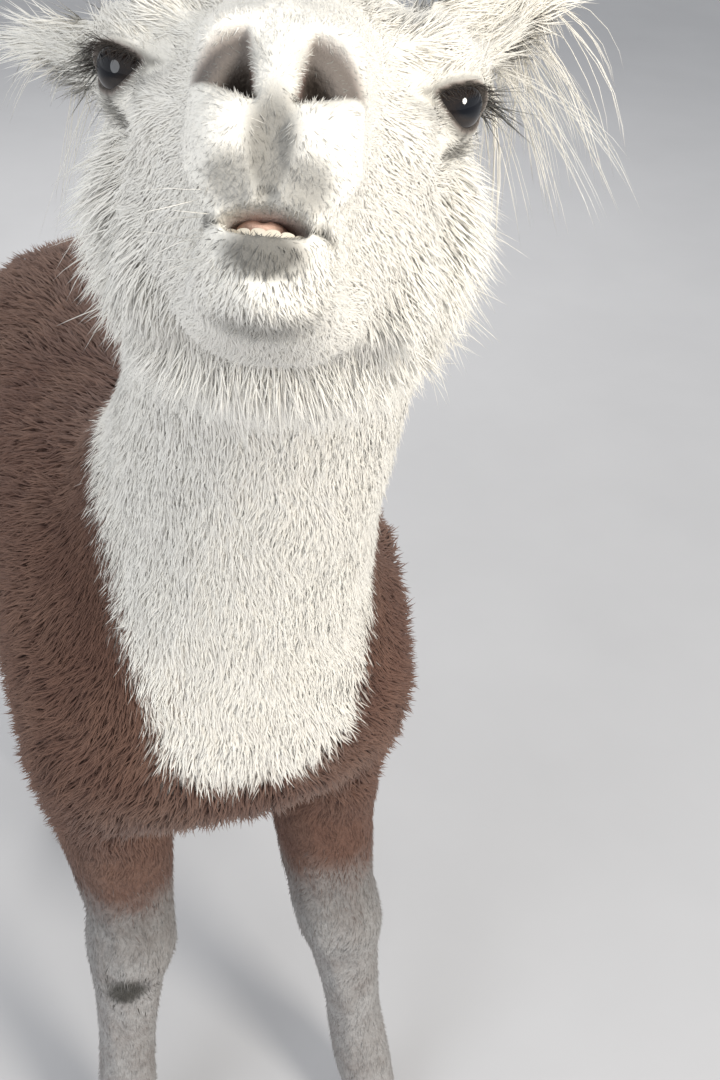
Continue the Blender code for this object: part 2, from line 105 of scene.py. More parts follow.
def wobble(points, scale, seed):
    # a smooth random field of about -1 to 1, from a few crossing waves
    draw = np.random.default_rng(seed)
    total = np.zeros(len(points))
    for _ in range(7):
        way = unit(draw.normal(size=3))
        turns = points @ way * draw.uniform(0.6, 1.6) / scale
        total += np.sin(turns * math.tau + draw.uniform(0, math.tau))
    return total / 3.2


def toLeft(headPoints):
    # points of the head's right side moved over to its left side
    return np.column_stack((headPoints[:, 0], np.abs(headPoints[:, 1]), headPoints[:, 2]))


sides = {"left": 1, "right": -1}


def mirror(sign):
    # turns a place on the left side to the side of this sign
    return vectorOf(1, sign, 1)


def eyeCentre(sign):
    return vectorOf(*eyePlan["centre"]) * mirror(sign)


def eyeGaze(sign):
    return unit(vectorOf(*eyePlan["gaze"])) * mirror(sign)


def nearerEye(headPoints):
    # how far each point is from the middle of the nearer eye
    return np.linalg.norm(toLeft(headPoints) - eyeCentre(1), axis=1)


earPlan = {
    "root": (-0.085, 0.052, 0.046),  # in the head's frame, mirrored for the right ear
    "leftWay": (-0.45, 0.68, 0.58),  # the left ear is held up, the right one out
    "rightWay": (-0.60, 0.77, 0.12),
    "length": 0.130,
    "reach": 0.048,  # how far from its middle line the ear's hair grows
    "full": 0.034,  # nearer than this there is no other hair
}


def earWays(headPoints):
    # the way that the nearer ear points, mirrored to the left side
    ways = [unit(vectorOf(*earPlan[key])) for key in ("leftWay", "rightWay")]
    return np.where(headPoints[:, 1:2] < 0, ways[1], ways[0])


def alongEar(headPoints):
    # how far out along the nearer ear a point lies, and how far off the ear's middle line
    way = earWays(headPoints)
    offset = toLeft(headPoints) - vectorOf(*earPlan["root"])
    share = (offset * way).sum(axis=1) / earPlan["length"]
    off = np.linalg.norm(offset - way * share[:, None] * earPlan["length"], axis=1)
    return share, off


zonePlan = {
    # planes where the head and the neck begin: a point on each, and the way it faces
    "headPlane": ((-0.108, 0, -0.060), (0.93, 0, 0.36)),  # behind the cheeks, in the head's frame
    "neckPlane": ((0, -0.070, 0.930), (0, -0.735, 0.678)),
    # where each kind of hair begins and where it is all there is
    "head": (-0.012, 0.012),
    "headHeight": (1.0, 1.1),
    "neck": (-0.05, 0.05),
    "ear": (-0.06, 0.06),  # shares of its length
    "jaw": (-0.03, 0.02),  # ahead in the head's frame, as the next ones are
    "jawToLip": (0.132, 0.150),
    "jawToMuzzle": (0.075, 0.115),
    "face": (-0.010, 0.045),
    "jawBelow": (0.086, 0.112),
    "jawAside": (0.034, 0.046),
    "jawByEye": (0.028, 0.046),  # from the eye's middle
    "faceByEye": (0.026, 0.044),
    "tailBehind": (0.748, 0.775),
    "tailHeight": (-0.91, -0.88),  # heights counted downwards
    "foot": (-0.12, -0.06),
    "leg": (-0.70, -0.56),
}


def zone(values, name):
    return ease(values, *zonePlan[name])


def pastPlane(points, name):
    place, way = zonePlan[name]
    return (points - vectorOf(*place)) @ vectorOf(*way)


def partsAt(points):
    # how much each point belongs to each part of the coat; the shares of a point add up to 1
    body, head = points - bodyPlace, inHead(points)
    share, off = alongEar(head)
    toEye = nearerEye(head)
    onHead = zone(pastPlane(head, "headPlane"), "head") * zone(body[:, 2], "headHeight")
    # the jaw's hair grows low on the head and on the sides of the muzzle
    low = zone(-head[:, 2], "jawBelow") * (1 - 0.7 * zone(head[:, 0], "jawToLip"))
    aside = zone(np.abs(head[:, 1]) - 0.10 * head[:, 2], "jawAside") * (1 - zone(head[:, 0], "jawToMuzzle"))
    jaw = np.maximum(low, 0.85 * aside) * zone(head[:, 0], "jaw")
    onNeck = zone(pastPlane(body, "neckPlane"), "neck")
    parts, rest = {}, np.ones(len(points))
    for name, amount in (
        ("ear", zone(share, "ear") * ease(-off, -earPlan["reach"], -earPlan["full"])),
        ("jaw", onHead * jaw * zone(toEye, "jawByEye")),
        ("face", onHead * np.maximum(zone(head[:, 0] + 0.25 * head[:, 2], "face"),
                                     1 - zone(toEye, "faceByEye"))),
        ("cheek", onHead),
        ("tail", zone(body[:, 1], "tailBehind") * zone(-body[:, 2], "tailHeight")),
        ("foot", zone(-body[:, 2], "foot")),
        ("leg", zone(-body[:, 2], "leg")),
        ("neck", onNeck),
    ):
        parts[name] = rest * amount
        rest = rest - parts[name]
    parts["trunk"] = rest
    return parts


coatPlan = {
    # depth of coat over the skin, then each tuft: length, width, lift at its root and past its middle in
    # degrees, share drawn into clumps, tufts to a square centimetre
    "face": (0.0013, 0.0056, 0.00054, 20, 10, 0.16, 50.0),
    "jaw": (0.0030, 0.0115, 0.00070, 26, 12, 0.28, 42.0),
    "cheek": (0.0120, 0.0340, 0.00082, 42, 20, 0.34, 31.0),
    "ear": (0.0035, 0.0350, 0.0010, 36, 22, 0.24, 52.0),
    "neck": (0.0065, 0.0160, 0.00095, 30, 17, 0.26, 23.0),
    "trunk": (0.0095, 0.0245, 0.0022, 40, 24, 0.34, 7.3),
    "leg": (0.0030, 0.0120, 0.0015, 17, 10, 0.30, 4.6),
    "foot": (0.0015, 0.0065, 0.0012, 14, 6, 0.20, 7.0),
    "tail": (0.0120, 0.0700, 0.0034, 26, 8, 0.45, 4.0),
}
coatTerms = ("depth", "length", "width", "lift", "lay", "clump", "count")


def coatAt(parts, term):
    column = coatTerms.index(term)
    return sum(parts[name] * coatPlan[name][column] for name in coatPlan)


def lieAt(points, parts):
    # which way the hair lies, before it is laid on the surface
    body, head = points - bodyPlace, inHead(points)
    side = np.clip(head[:, 1] / 0.05, -1, 1)[:, None]
    # the face's hair spreads from the middle of the nose
    nose = np.column_stack((np.zeros(len(head)), head[:, 1], head[:, 2] + 0.052)) / 0.030
    nose = np.clip(nose, -1.2, 1.2) @ headTurn.T
    outEar = earWays(head)
    outEar[:, 1] *= np.sign(head[:, 1])
    flank = np.clip(body[:, 0] / 0.10, -1, 1)
    ways = {
        "face": -forwardWay + 0.5 * nose,
        "jaw": -forwardWay * 0.80 + downWay * 0.30 + side * leftWay * 0.30,
        "cheek": -forwardWay * 0.55 + downWay * 0.62 + side * leftWay * 0.34,
        "ear": outEar @ headTurn.T + downWay * 0.25,
        "neck": downWay + vectorOf(0.12, 0, 0) * flank[:, None],
        "trunk": vectorOf(0, 0.62, -0.70) + vectorOf(0.35, 0, 0) * flank[:, None],
        "leg": vectorOf(0, 0.10, -1.0),
        "foot": vectorOf(0, -0.45, -0.8),
        "tail": vectorOf(0, 0.12, -1.0) + vectorOf(0.25, 0, 0) * flank[:, None],
    }
    return sum(parts[name][:, None] * (way if way.ndim == 2 else way[None, :]) for name, way in ways.items())


markPlan = {
    "bibLow": 0.768,  # height of the bib's lowest point
    "bibSpread": 0.10,  # half its width at the shoulders
    "bibRise": 0.13,
    "bibBack": 1.3,  # how steeply the brown climbs behind it
    "sockTop": {"fore": 0.480, "hind": 0.400},  # where brown gives way to pale legs
    "shinPatch": ((-0.119, -0.033, 0.356), (0.026, 0.040, 0.032)),
    "shinDark": 0.97,  # how dark each mark is
    "kneeGrey": 0.42,  # on the legs, from the knees up
    "tearDark": 0.86,
    "tearWidth": 0.0034,
    "tearTop": (0.005, 0.011),  # how far under the eye's middle it fades in, and out
    "tearEnd": (0.023, 0.031),
    "tearReach": 0.045,
    "spotEdge": (0.45, 1.15),  # shares of a spot's size where it starts to fade, and is gone
    "waves": ((0.11, 3, 0.010), (0.035, 4, 0.005)),  # of every border: length, draw and height
}
# soft dark tints of the face, some pigment and some painted shade: place in the head's frame, half sizes,
# strength, on both sides or one
faceTints = (
    ((0.160, 0.000, -0.068), (0.030, 0.0112, 0.023), 0.72, False),  # the cleft of the lip
    ((0.158, 0.012, -0.079), (0.030, 0.0115, 0.011), 0.56, True),  # beside it, over the mouth
    ((0.158, 0.000, -0.078), (0.030, 0.0250, 0.014), 0.28, False),  # all over the upper lip
    ((0.150, 0.000, -0.101), (0.030, 0.0185, 0.010), 0.82, False),  # the lower lip
    ((0.145, 0.0245, -0.090), (0.030, 0.0085, 0.0034), 0.75, True),  # painted shade in the closed corners of the mouth
    ((0.155, 0.0150, -0.043), (0.030, 0.0125, 0.014), 0.50, True),  # painted shade in and about the nostrils
    ((0.112, 0.000, -0.124), (0.030, 0.0440, 0.008), 0.45, False),  # painted shadow under the chin
    ((0.0240, 0.0610, -0.002), (0.0060, 0.0080, 0.0036), 0.78, True),  # painted shade in the hollow at the inner corner of the eye
    ((-0.0060, 0.0880, -0.003), (0.008, 0.010, 0.0045), 0.50, True),  # outer corner
)


def awayFrom(points, centre, halves):
    # the square of how far out each point lies in an ellipsoid: 0 at its centre, 1 on its face
    return (((points - centre) / halves) ** 2).sum(axis=1)


def spotAt(points, centre, halves):
    return 1 - ease(np.sqrt(awayFrom(points, centre, halves)), *markPlan["spotEdge"])


def tearAt(head):
    # the dark line that runs down the cheek from each eye
    tear = np.zeros(len(head))
    ahead, rise = eyeCross(eyeGaze(1))
    for sign in sides.values():
        offset = head * mirror(sign) - eyeCentre(1)
        aside, drop = offset @ ahead + eyePlan["tearAside"], -(offset @ rise)
        line = np.exp(-((aside / markPlan["tearWidth"]) ** 2))
        line = line * ease(drop, *markPlan["tearTop"]) * (1 - ease(drop, *markPlan["tearEnd"]))
        tear = np.maximum(tear, line * (np.linalg.norm(offset, axis=1) < markPlan["tearReach"]))
    return tear


def marksAt(points):
    # red: brown coat, green: pale grey of the legs, blue: dark pigment and painted shade
    body, head = points - bodyPlace, inHead(points)
    x, y, z = body.T
    wave = sum(wobble(points, length, seed) * height for length, seed, height in markPlan["waves"])
    across = np.minimum(np.abs(x - 0.008) / markPlan["bibSpread"], 1.5)
    bib = markPlan["bibLow"] + markPlan["bibRise"] * across**4 + markPlan["bibBack"] * (y + 0.17)
    brown = ease(bib - z + wave, -0.018, 0.018)
    hind = y > 0.3
    sock = np.where(hind, markPlan["sockTop"]["hind"], markPlan["sockTop"]["fore"]) + np.where(x < 0, 0.02, 0)
    pale = ease(sock - z + wave * 2.2 + np.where(hind, 0, 0.25 * np.clip(y, -0.1, 0.04)), -0.055, 0.055)
    centre, halves = markPlan["shinPatch"]
    dark = markPlan["shinDark"] * spotAt(body + (wave * 0.35)[:, None], centre, halves)
    dark = np.maximum(dark, markPlan["kneeGrey"] * pale * ease(z + wave, 0.33, 0.50) * ~hind)
    for place, size, strength, paired in faceTints:
        for sign in sides.values() if paired else (1,):
            dark = np.maximum(dark, strength * spotAt(head, place * mirror(sign), size))
    dark = np.maximum(dark, markPlan["tearDark"] * tearAt(head))
    return np.column_stack((brown, pale, dark, np.ones(len(points))))


class Wire:
    # a node's output, so that shader sums read as plain sums
    def __init__(self, tree, socket=None):
        self.tree = tree
        self.socket = socket

    def node(self, kind, settings=None, inputs=None, output=0):
        # settings first, then the values or wires of its sockets
        made = self.tree.nodes.new("ShaderNode" + kind)
        for key, value in (settings or {}).items():
            setattr(made, key, value)
        for key, value in (inputs or {}).items():
            if isinstance(value, Wire):
                self.tree.links.new(value.socket, made.inputs[key])
            else:
                made.inputs[key].default_value = value
        return Wire(self.tree, made.outputs[output])

    def part(self, place):
        # another output of the same node
        return Wire(self.tree, self.socket.node.outputs[place])

    def sum(self, operation, first, second):
        return self.node("Math", {"operation": operation}, {0: first, 1: second})

    def __add__(self, other):
        return self.sum("ADD", self, other)

    __radd__ = __add__

    def __sub__(self, other):
        return self.sum("SUBTRACT", self, other)

    def __rsub__(self, other):
        return self.sum("SUBTRACT", other, self)

    def __mul__(self, other):
        return self.sum("MULTIPLY", self, other)

    __rmul__ = __mul__

    def __pow__(self, other):
        return self.sum("POWER", self, other)

    def clipped(self):
        return self.node("Clamp", {}, {"Value": self})

    def mix(self, first, second):
        # a colour between two, by this share
        def shade(value):
            return value if isinstance(value, Wire) else (*value, 1.0)

        return self.node("Mix", {"data_type": "RGBA"}, {0: self, 6: shade(first), 7: shade(second)}, output=2)

    def noise(self, scale, detail=3.0, roughness=0.55):
        inputs = {"Vector": self, "Scale": scale, "Detail": detail, "Roughness": roughness}
        return self.node("TexNoise", {}, inputs)


def newFinish(name, **fixed):
    # a material with its shader; fixed holds what is the same all over
    material = bpy.data.materials.new(name)
    material.use_nodes = True
    shader = material.node_tree.nodes["Principled BSDF"]
    for key, value in fixed.items():
        shader.inputs[key.replace("_", " ")].default_value = value
    start = Wire(material.node_tree)
    return material, shader, start, start.node("TexCoord", output=3)


def feed(start, shader, **wires):
    for key, wire in wires.items():
        start.tree.links.new(wire.socket, shader.inputs[key.replace("_", " ")])


def carried(start, name, output=2):
    # what the mesh carries at each point: output 2 gives a number, output 0 a colour
    return start.node("Attribute", {"attribute_name": name}, output=output)


def bumped(start, height, strength, distance):
    return start.node("Bump", {}, {"Strength": strength, "Distance": distance, "Height": height})


furPlan = {
    "whiteRoot": (0.86, 0.82, 0.735),
    "whiteTip": (0.95, 0.928, 0.868),
    "brownRoot": (0.058, 0.026, 0.019),
    "brownTip": (0.175, 0.086, 0.058),
    # painted sunlight: the paler brown of broad random patches of tips
    "brownSun": (0.300, 0.178, 0.124),
    "paleRoot": (0.190, 0.175, 0.165),
    "paleTip": (0.540, 0.530, 0.520),
    "paleDark": (0.150, 0.110, 0.092),
    # the colour of every dark mark: pigment, and painted shade where a mark stands for shade
    "pigmentAndShade": (0.042, 0.038, 0.031),
    "flesh": (0.42, 0.20, 0.16),
    "fleshDark": (0.20, 0.09, 0.075),
    # scales of the grain: over the body, over the tufts, on the legs, then of the bare skin and along hairs
    "broad": 9.0,
    "fine": 240.0,
    "mottle": 26.0,
    "pores": 900.0,
    "folds": (420.0, 95.0),
    "streak": 700.0,
    # how much its height, the tuft's own tone and the grain lighten a hair
    "byRise": 0.85,
    "byTone": 0.50,
    "byGrain": 0.55,
}


def furFinish(name, skinny):
    # one finish for skin and coat, so that both carry the same markings
    material, shader, start, place = newFinish(name, Roughness=0.85, Sheen_Weight=0.08, Sheen_Roughness=0.5,
                                               Specular_IOR_Level=0.25)
    split = start.node("SeparateColor", {}, {"Color": carried(start, "marks", 0)})
    brown, pale, dark = (split.part(k) for k in range(3))
    tone, rise = carried(start, "tone"), carried(start, "rise")
    broad, fine = place.noise(furPlan["broad"], 2.0), place.noise(furPlan["fine"], 2.0)
    reach = rise * furPlan["byRise"] + (tone - 0.5) * furPlan["byTone"] + (fine - 0.5) * furPlan["byGrain"]
    reach = (reach + 0.05).clipped()
    # painted sunlight: broad random patches where the brown tips are paler
    brownTip = (broad * 1.6 - 0.45).clipped().mix(furPlan["brownTip"], furPlan["brownSun"])
    white = reach.mix(furPlan["whiteRoot"], furPlan["whiteTip"])
    red = reach.mix(furPlan["brownRoot"], brownTip)
    mottle = (place.noise(furPlan["mottle"], 3.0, 0.6) * 2.4 - 0.95).clipped() * 0.45
    grey = mottle.mix(reach.mix(furPlan["paleRoot"], furPlan["paleTip"]), furPlan["paleDark"])
    colour = pale.mix(brown.mix(white, red), grey)
    # the dark marks: pigment, and painted shade
    colour = dark.mix(colour, furPlan["pigmentAndShade"])
    if skinny:
        bare = carried(start, "bare")
        pores = place.noise(furPlan["pores"], 3.0)
        flesh = (pores * 0.5).mix(furPlan["flesh"], furPlan["fleshDark"])
        colour = bare.mix(colour, dark.mix(flesh, furPlan["pigmentAndShade"]))
        small, large = furPlan["folds"]
        ripple = place.noise(small, 4.0, 0.6) * 0.7 + place.noise(large, 3.0, 0.6) * 0.5
        feed(start, shader, Base_Color=colour, Normal=bumped(start, ripple, 0.9, 0.0016),
             Roughness=0.86 - bare * 0.42)
    else:
        streak = place.noise(furPlan["streak"], 2.0)
        feed(start, shader, Base_Color=colour, Normal=bumped(start, streak, 0.35, 0.0004),
             Roughness=0.72 + streak * 0.2)
    return material


def deselect():
    for thing in bpy.context.selected_objects:
        thing.select_set(False)


def makeActive(thing):
    deselect()
    thing.select_set(True)
    bpy.context.view_layer.objects.active = thing


def editAll(thing):
    makeActive(thing)
    bpy.ops.object.mode_set(mode="EDIT")
    bpy.ops.mesh.select_all(action="SELECT")


def newThing(name, data):
    thing = bpy.data.objects.new(name, data)
    bpy.context.scene.collection.objects.link(thing)
    return thing


def copied(thing):
    # a copy with its own mesh
    copy = thing.copy()
    copy.data = thing.data.copy()
    bpy.context.scene.collection.objects.link(copy)
    return copy


def joined(things):
    deselect()
    for thing in things:
        thing.select_set(True)
    bpy.context.view_layer.objects.active = things[0]
    bpy.ops.object.join()
    return bpy.context.object


def applyModifier(thing, kind, **settings):
    makeActive(thing)
    modifier = thing.modifiers.new(kind.lower(), kind)
    for key, value in settings.items():
        setattr(modifier, key, value)
    bpy.ops.object.modifier_apply(modifier=modifier.name)


def numbersOf(items, field, width, kind=np.float32):
    flat = np.empty(len(items) * width, kind)
    items.foreach_get(field, flat)
    return flat.reshape(-1, width)


def pointsOf(thing):
    return numbersOf(thing.data.vertices, "co", 3).astype(float)


def normalsOf(thing):
    return numbersOf(thing.data.vertex_normals, "vector", 3).astype(float)


def movePoints(thing, points):
    thing.data.vertices.foreach_set("co", points.astype(np.float32).ravel())
    thing.data.update()


def edgesOf(thing):
    return numbersOf(thing.data.edges, "vertices", 2, np.int32)


def averaged(values, edges):
    # the mean of each point's neighbours
    count = np.bincount(edges.ravel(), minlength=len(values))
    total = np.empty_like(values)
    for k in range(values.shape[1]):
        total[:, k] = (np.bincount(edges[:, 0], values[edges[:, 1], k], len(values))
                       + np.bincount(edges[:, 1], values[edges[:, 0], k], len(values)))
    return total / np.maximum(count, 1)[:, None]


def relax(points, edges, amount, rounds, keepSize=0.0):
    # draws each point towards its neighbours' mean; keepSize pushes part of it back after each round
    for _ in range(rounds):
        points = points + amount[:, None] * (averaged(points, edges) - points)
        if keepSize:
            points = points - keepSize * amount[:, None] * (averaged(points, edges) - points)
    return points


def setAttribute(mesh, name, kind, values):
    attribute = mesh.attributes.new(name, kind, "POINT")
    field = {"FLOAT_COLOR": "color", "FLOAT_VECTOR": "vector", "FLOAT": "value"}[kind]
    attribute.data.foreach_set(field, values.astype(np.float32).ravel())


fleshNodes = ("head", "neck", "trunk", "tail", "ear_left", "ear_right", "foreleg_left", "foreleg_right",
              "hind_leg_left", "hind_leg_right")
fillNodes = ("eye_left", "eye_right", *(f"nail_{leg}_{toe}" for leg in
             ("foreleg_left", "foreleg_right", "hind_leg_left", "hind_leg_right") for toe in "ab"))
skinPlan = {
    "grid": 0.0044,
    "triangles": 96000,  # after thinning the body
    "swell": 0.0006,  # pushes the solids together across their cuts
    "mouthFill": ((0.106, 0, -0.0895), (0.046, 0.029, 0.0085)),
    "headAbove": 1.15,  # no part of the head's fine skin is lower
    "bodyRounds": 44,  # rounds of smoothing of the neck and trunk, of the whole skin, and round the eyes
    "allRounds": 9,
    "lidRounds": 45,
    "keepSize": 1.02,  # share of the shrinking that a round gives back
    "thinned": {"trunk": 1.0, "neck": 1.0, "tail": 1.0, "leg": 0.55, "cheek": 0.25},
    "tone": 0.5,  # the skin's shade among the coat's, and as if this far up a tuft
    "rise": 0.45,
    "lidPigment": 1.5,
    # painted shade in the closed line of the mouth
    "creaseShade": 0.8,
    # the most that the lids' pigment and the nostrils' dark skin and painted shade reach
    "mostPigmentAndShade": 0.96,
}


def joinedFlesh():
    copies = [copied(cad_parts[name]) for name in (*fleshNodes, *fillNodes)]
    for copy in copies:
        copy.parent = None
        copy.data.materials.clear()
    centre, halves = skinPlan["mouthFill"]
    deselect()
    bpy.ops.mesh.primitive_uv_sphere_add(segments=32, ring_count=16, radius=1)
    plug = bpy.context.object
    plug.matrix_world = (Matrix.Translation(Vector(fromHead(centre))) @ Matrix(headTurn.tolist()).to_4x4()
                         @ Matrix.Diagonal((*halves, 1)))
    bpy.ops.object.transform_apply()
    skin = joined([*copies, plug])
    for key in list(skin.keys()):
        del skin[key]
    skin.name = skin.data.name = "skin"
    editAll(skin)
    bpy.ops.mesh.remove_doubles(threshold=0.00002)
    bpy.ops.transform.shrink_fatten(value=skinPlan["swell"])
    bpy.ops.object.mode_set(mode="OBJECT")
    applyModifier(skin, "REMESH", mode="VOXEL", voxel_size=skinPlan["grid"])
    return skin


def thinnedSkin(skin):
    # fewer faces where wool hides the skin
    parts = partsAt(pointsOf(skin))
    loss = np.clip(sum(parts[name] * share for name, share in skinPlan["thinned"].items()), 0.02, 1)
    group = skin.vertex_groups.new(name="thin")
    steps = 20
    level = np.round(loss * steps).astype(int)
    for step in range(steps + 1):
        members = np.flatnonzero(level == step)
        if len(members):
            group.add(members.tolist(), step / steps, "REPLACE")
    ratio = skinPlan["triangles"] / (2 * len(skin.data.polygons))
    applyModifier(skin, "DECIMATE", ratio=ratio, vertex_group="thin", vertex_group_factor=1.0)
    skin.vertex_groups.clear()


def easedSkin(skin):
    # smooths the flat facets away, then draws the skin in by the coat's depth
    points, edges = pointsOf(skin), edgesOf(skin)
    parts = partsAt(points)
    big = parts["trunk"] + parts["neck"]
    points = relax(points, edges, 0.5 * big, skinPlan["bodyRounds"])
    points = relax(points, edges, np.full(len(points), 0.5), skinPlan["allRounds"], skinPlan["keepSize"])
    movePoints(skin, points)
    thinnedSkin(skin)
    points, edges = pointsOf(skin), edgesOf(skin)
    parts = partsAt(points)
    depth = coatAt(parts, "depth")
    share, _ = alongEar(inHead(points))
    depth *= 1 - 0.75 * ease(share, 0.55, 0.95) * parts["ear"]  # an ear is thin towards its tip
    points = points - normalsOf(skin) * depth[:, None]
    points = relax(points, edges, np.full(len(points), 0.4), 2)
    points[:, 2] = np.maximum(points[:, 2], 0)
    movePoints(skin, points)


def unwrapSkin(skin):
    editAll(skin)
    bpy.ops.uv.smart_project(angle_limit=math.radians(66), island_margin=0.002, area_weight=0.0)
    bpy.ops.object.mode_set(mode="OBJECT")
    skin.data.uv_layers[0].name = "OFBake"


def refine(skin, marked):
    # divides the faces whose points are all marked
    makeActive(skin)
    bpy.context.tool_settings.mesh_select_mode = (True, False, False)
    mesh = skin.data
    mesh.polygons.foreach_set("select", np.zeros(len(mesh.polygons), bool))
    mesh.edges.foreach_set("select", np.zeros(len(mesh.edges), bool))
    mesh.vertices.foreach_set("select", marked)
    bpy.ops.object.mode_set(mode="EDIT")
    bpy.ops.mesh.select_mode(type="FACE")
    bpy.ops.mesh.subdivide(number_cuts=1)
    bpy.ops.object.mode_set(mode="OBJECT")


def refinedHead(skin):
    for front, byEye in ((0.030, 0.050), (0.112, 0.032)):  # how far forward, and how near an eye
        points = pointsOf(skin)
        head = inHead(points)
        high = points[:, 2] - bodyPlace[2] > skinPlan["headAbove"]
        refine(skin, high & ((head[:, 0] > front) | (nearerEye(head) < byEye)))
        points, edges = pointsOf(skin), edgesOf(skin)
        head = inHead(points)
        near = ease(head[:, 0], -0.06, -0.03) * (points[:, 2] - bodyPlace[2] > skinPlan["headAbove"])
        movePoints(skin, relax(points, edges, 0.5 * near, 4, skinPlan["keepSize"]))


# strokes of the sculptor: place in the head's frame, half sizes, push; all but the middle ones are doubled
strokes = (
    ((0.156, 0.0160, -0.0660), (0.022, 0.0150, 0.0145), (0.0050, 0.0010, 0)),  # pad of the upper lip
    ((0.160, 0.0000, -0.0440), (0.020, 0.0080, 0.0220), (0.0030, 0, 0)),  # septum
    ((0.163, 0.0000, -0.0700), (0.024, 0.0075, 0.0200), (-0.0026, 0, 0)),  # cleft of the lip
    ((0.156, 0.0000, -0.0850), (0.020, 0.0050, 0.0055), (-0.0030, 0, 0.0022)),  # notch of the lip
    ((0.150, 0.0000, -0.1000), (0.022, 0.0170, 0.0100), (0.0030, 0, 0)),  # lower lip
    ((0.132, 0.0000, -0.1190), (0.030, 0.0240, 0.0130), (0.0035, 0, -0.0015)),  # chin
    ((0.060, 0.0380, -0.0650), (0.050, 0.0140, 0.0200), (0, -0.0030, 0)),  # hollow of the cheek
    ((0.062, 0.0420, -0.0330), (0.045, 0.0120, 0.0090), (0, 0.0022, 0.001)),  # cheek bone ridge
    ((0.080, 0.0200, -0.0060), (0.040, 0.0120, 0.0140), (0, -0.0012, -0.001)),  # side of the nose bridge
    ((0.034, 0.0520, -0.0040), (0.022, 0.0160, 0.0200), (-0.001, -0.0060, 0)),  # hollow before the eye
)
nostrilPlan = {
    # in the head's frame, to its left and up: the inner corner, the top and the outer corner
    "inner": (0.0068, -0.0528),
    "top": (0.0110, -0.0272),
    "outer": (0.0286, -0.0472),
    "hub": (0.0085, -0.0525),  # the wing's rim is an arc about this
    "rim": 0.0242,
    "depth": 0.0160,
    "lip": 0.0024,  # how far the rim stands out
}
mouthPlan = {
    "level": -0.0900,
    "drop": 0.0016,  # how far its corners hang
    "halfWidth": 0.0268,
    "openWidth": 0.0155,  # half of the part that is open
    "gap": 0.0031,  # half its height in the middle
    "depth": 0.034,
    "front": 0.128,  # the lips lie ahead of this
    "lipFull": 0.0014,  # how far they stand out
    "lipTall": 0.0035,
    "crease": 0.0026,  # depth and half height of the crease behind each corner
}


def nostrilAt(head):
    # how far inside a nostril each point lies, how deep it is there, how near the rim, and how near the slit
    flat = np.column_stack((np.abs(head[:, 1]), head[:, 2]))
    inner, top, outer, hub = (vectorOf(*nostrilPlan[key]) for key in ("inner", "top", "outer", "hub"))

    def beyond(start, end, point):
        # how far past the line from start to end, on the side of the third point
        way = unit(end - start)
        across = vectorOf(way[1], -way[0])
        return (flat - start) @ across * np.sign((point - start) @ across)

    fromHub = np.linalg.norm(flat - hub, axis=1)
    inside = (ease(beyond(inner, top, outer), -0.0010, 0.0012)
              * ease(beyond(inner, outer, top), -0.0010, 0.0010)
              * ease(nostrilPlan["rim"] - fromHub, -0.0005, 0.0060))
    deep = 0.30 + 0.70 * (1 - ease(np.linalg.norm(flat - inner, axis=1), 0.003, 0.017))
    above = ease(flat[:, 1], hub[1] + 0.002, hub[1] + 0.010) * ease(flat[:, 0], 0.003, 0.010)
    rim = np.exp(-(((fromHub - nostrilPlan["rim"] - 0.0030) / 0.0042) ** 2)) * above
    along = np.clip((flat - inner) @ (outer - inner) / ((outer - inner) @ (outer - inner)), 0, 1.05)
    aside = np.linalg.norm(flat - inner - along[:, None] * (outer - inner), axis=1)
    slit = np.exp(-((aside / 0.0012) ** 2)) * (1 - 0.6 * along)
    return inside, deep, rim, slit


def stroked(head):
    for centre, halves, push in strokes:
        for sign in sides.values() if centre[1] else (1,):
            strength = np.clip(1 - awayFrom(head, centre * mirror(sign), halves), 0, 1) ** 1.4
            head = head + strength[:, None] * vectorOf(*push) * mirror(sign)
    return head


def mouthInto(head):
    # parts the lips, and gives how far in the mouth each point lies and how far that part is open
    across = np.abs(head[:, 1]) / mouthPlan["halfWidth"]
    line = mouthPlan["level"] - mouthPlan["drop"] * np.clip(across, 0, 1) ** 2
    opened = np.clip(1 - (head[:, 1] / mouthPlan["openWidth"]) ** 2, 0, 1)
    gap = mouthPlan["gap"] * np.sqrt(opened) + 0.0005
    above = head[:, 2] - line
    ahead = ease(head[:, 0], mouthPlan["front"], mouthPlan["front"] + 0.006) * (across < 1)
    mouth = (1 - ease(np.abs(above) / gap, 0.8, 1.5)) * ahead
    lips = np.exp(-(((np.abs(above) - gap - mouthPlan["lipTall"]) / mouthPlan["lipTall"]) ** 2))
    lips = lips * ahead * (1 - np.clip(across, 0, 1) ** 4)
    head[:, 0] += mouthPlan["lipFull"] * lips
    head[:, 0] -= mouth * mouthPlan["depth"] * (0.16 + 0.84 * np.sqrt(opened))
    deep = mouthPlan["crease"]
    crease = (1 - ease(np.abs(above) / deep, 0.2, 1)) * ease(head[:, 0], 0.085, 0.11) * (1 - ahead)
    head[:, 1] -= np.sign(head[:, 1]) * deep * crease
    return mouth, opened


def sculptedHead(skin):
    head = stroked(inHead(pointsOf(skin)))
    muzzle = ease(head[:, 0], 0.125, 0.140)
    inside, deep, rim, slit = nostrilAt(head)
    sunk = np.maximum(inside * deep, 0.35 * slit)
    head[:, 0] += muzzle * (nostrilPlan["lip"] * rim - nostrilPlan["depth"] * sunk)
    mouth, opened = mouthInto(head)
    movePoints(skin, fromHead(head))
    hole = np.maximum(inside * (0.45 + 0.55 * ease(deep, 0.40, 0.75)) * muzzle, mouth * opened)
    # the nostrils' dark skin, darker with depth and along the slit as painted shade
    nostril = np.maximum(inside * (0.84 + 0.16 * ease(deep, 0.3, 0.7)), slit) * muzzle
    # crease marks the closed line of the mouth, which gets painted shade
    return {"mouth": mouth * np.sqrt(opened), "hole": hole, "nostril": nostril,
            "crease": mouth * (1 - opened)}


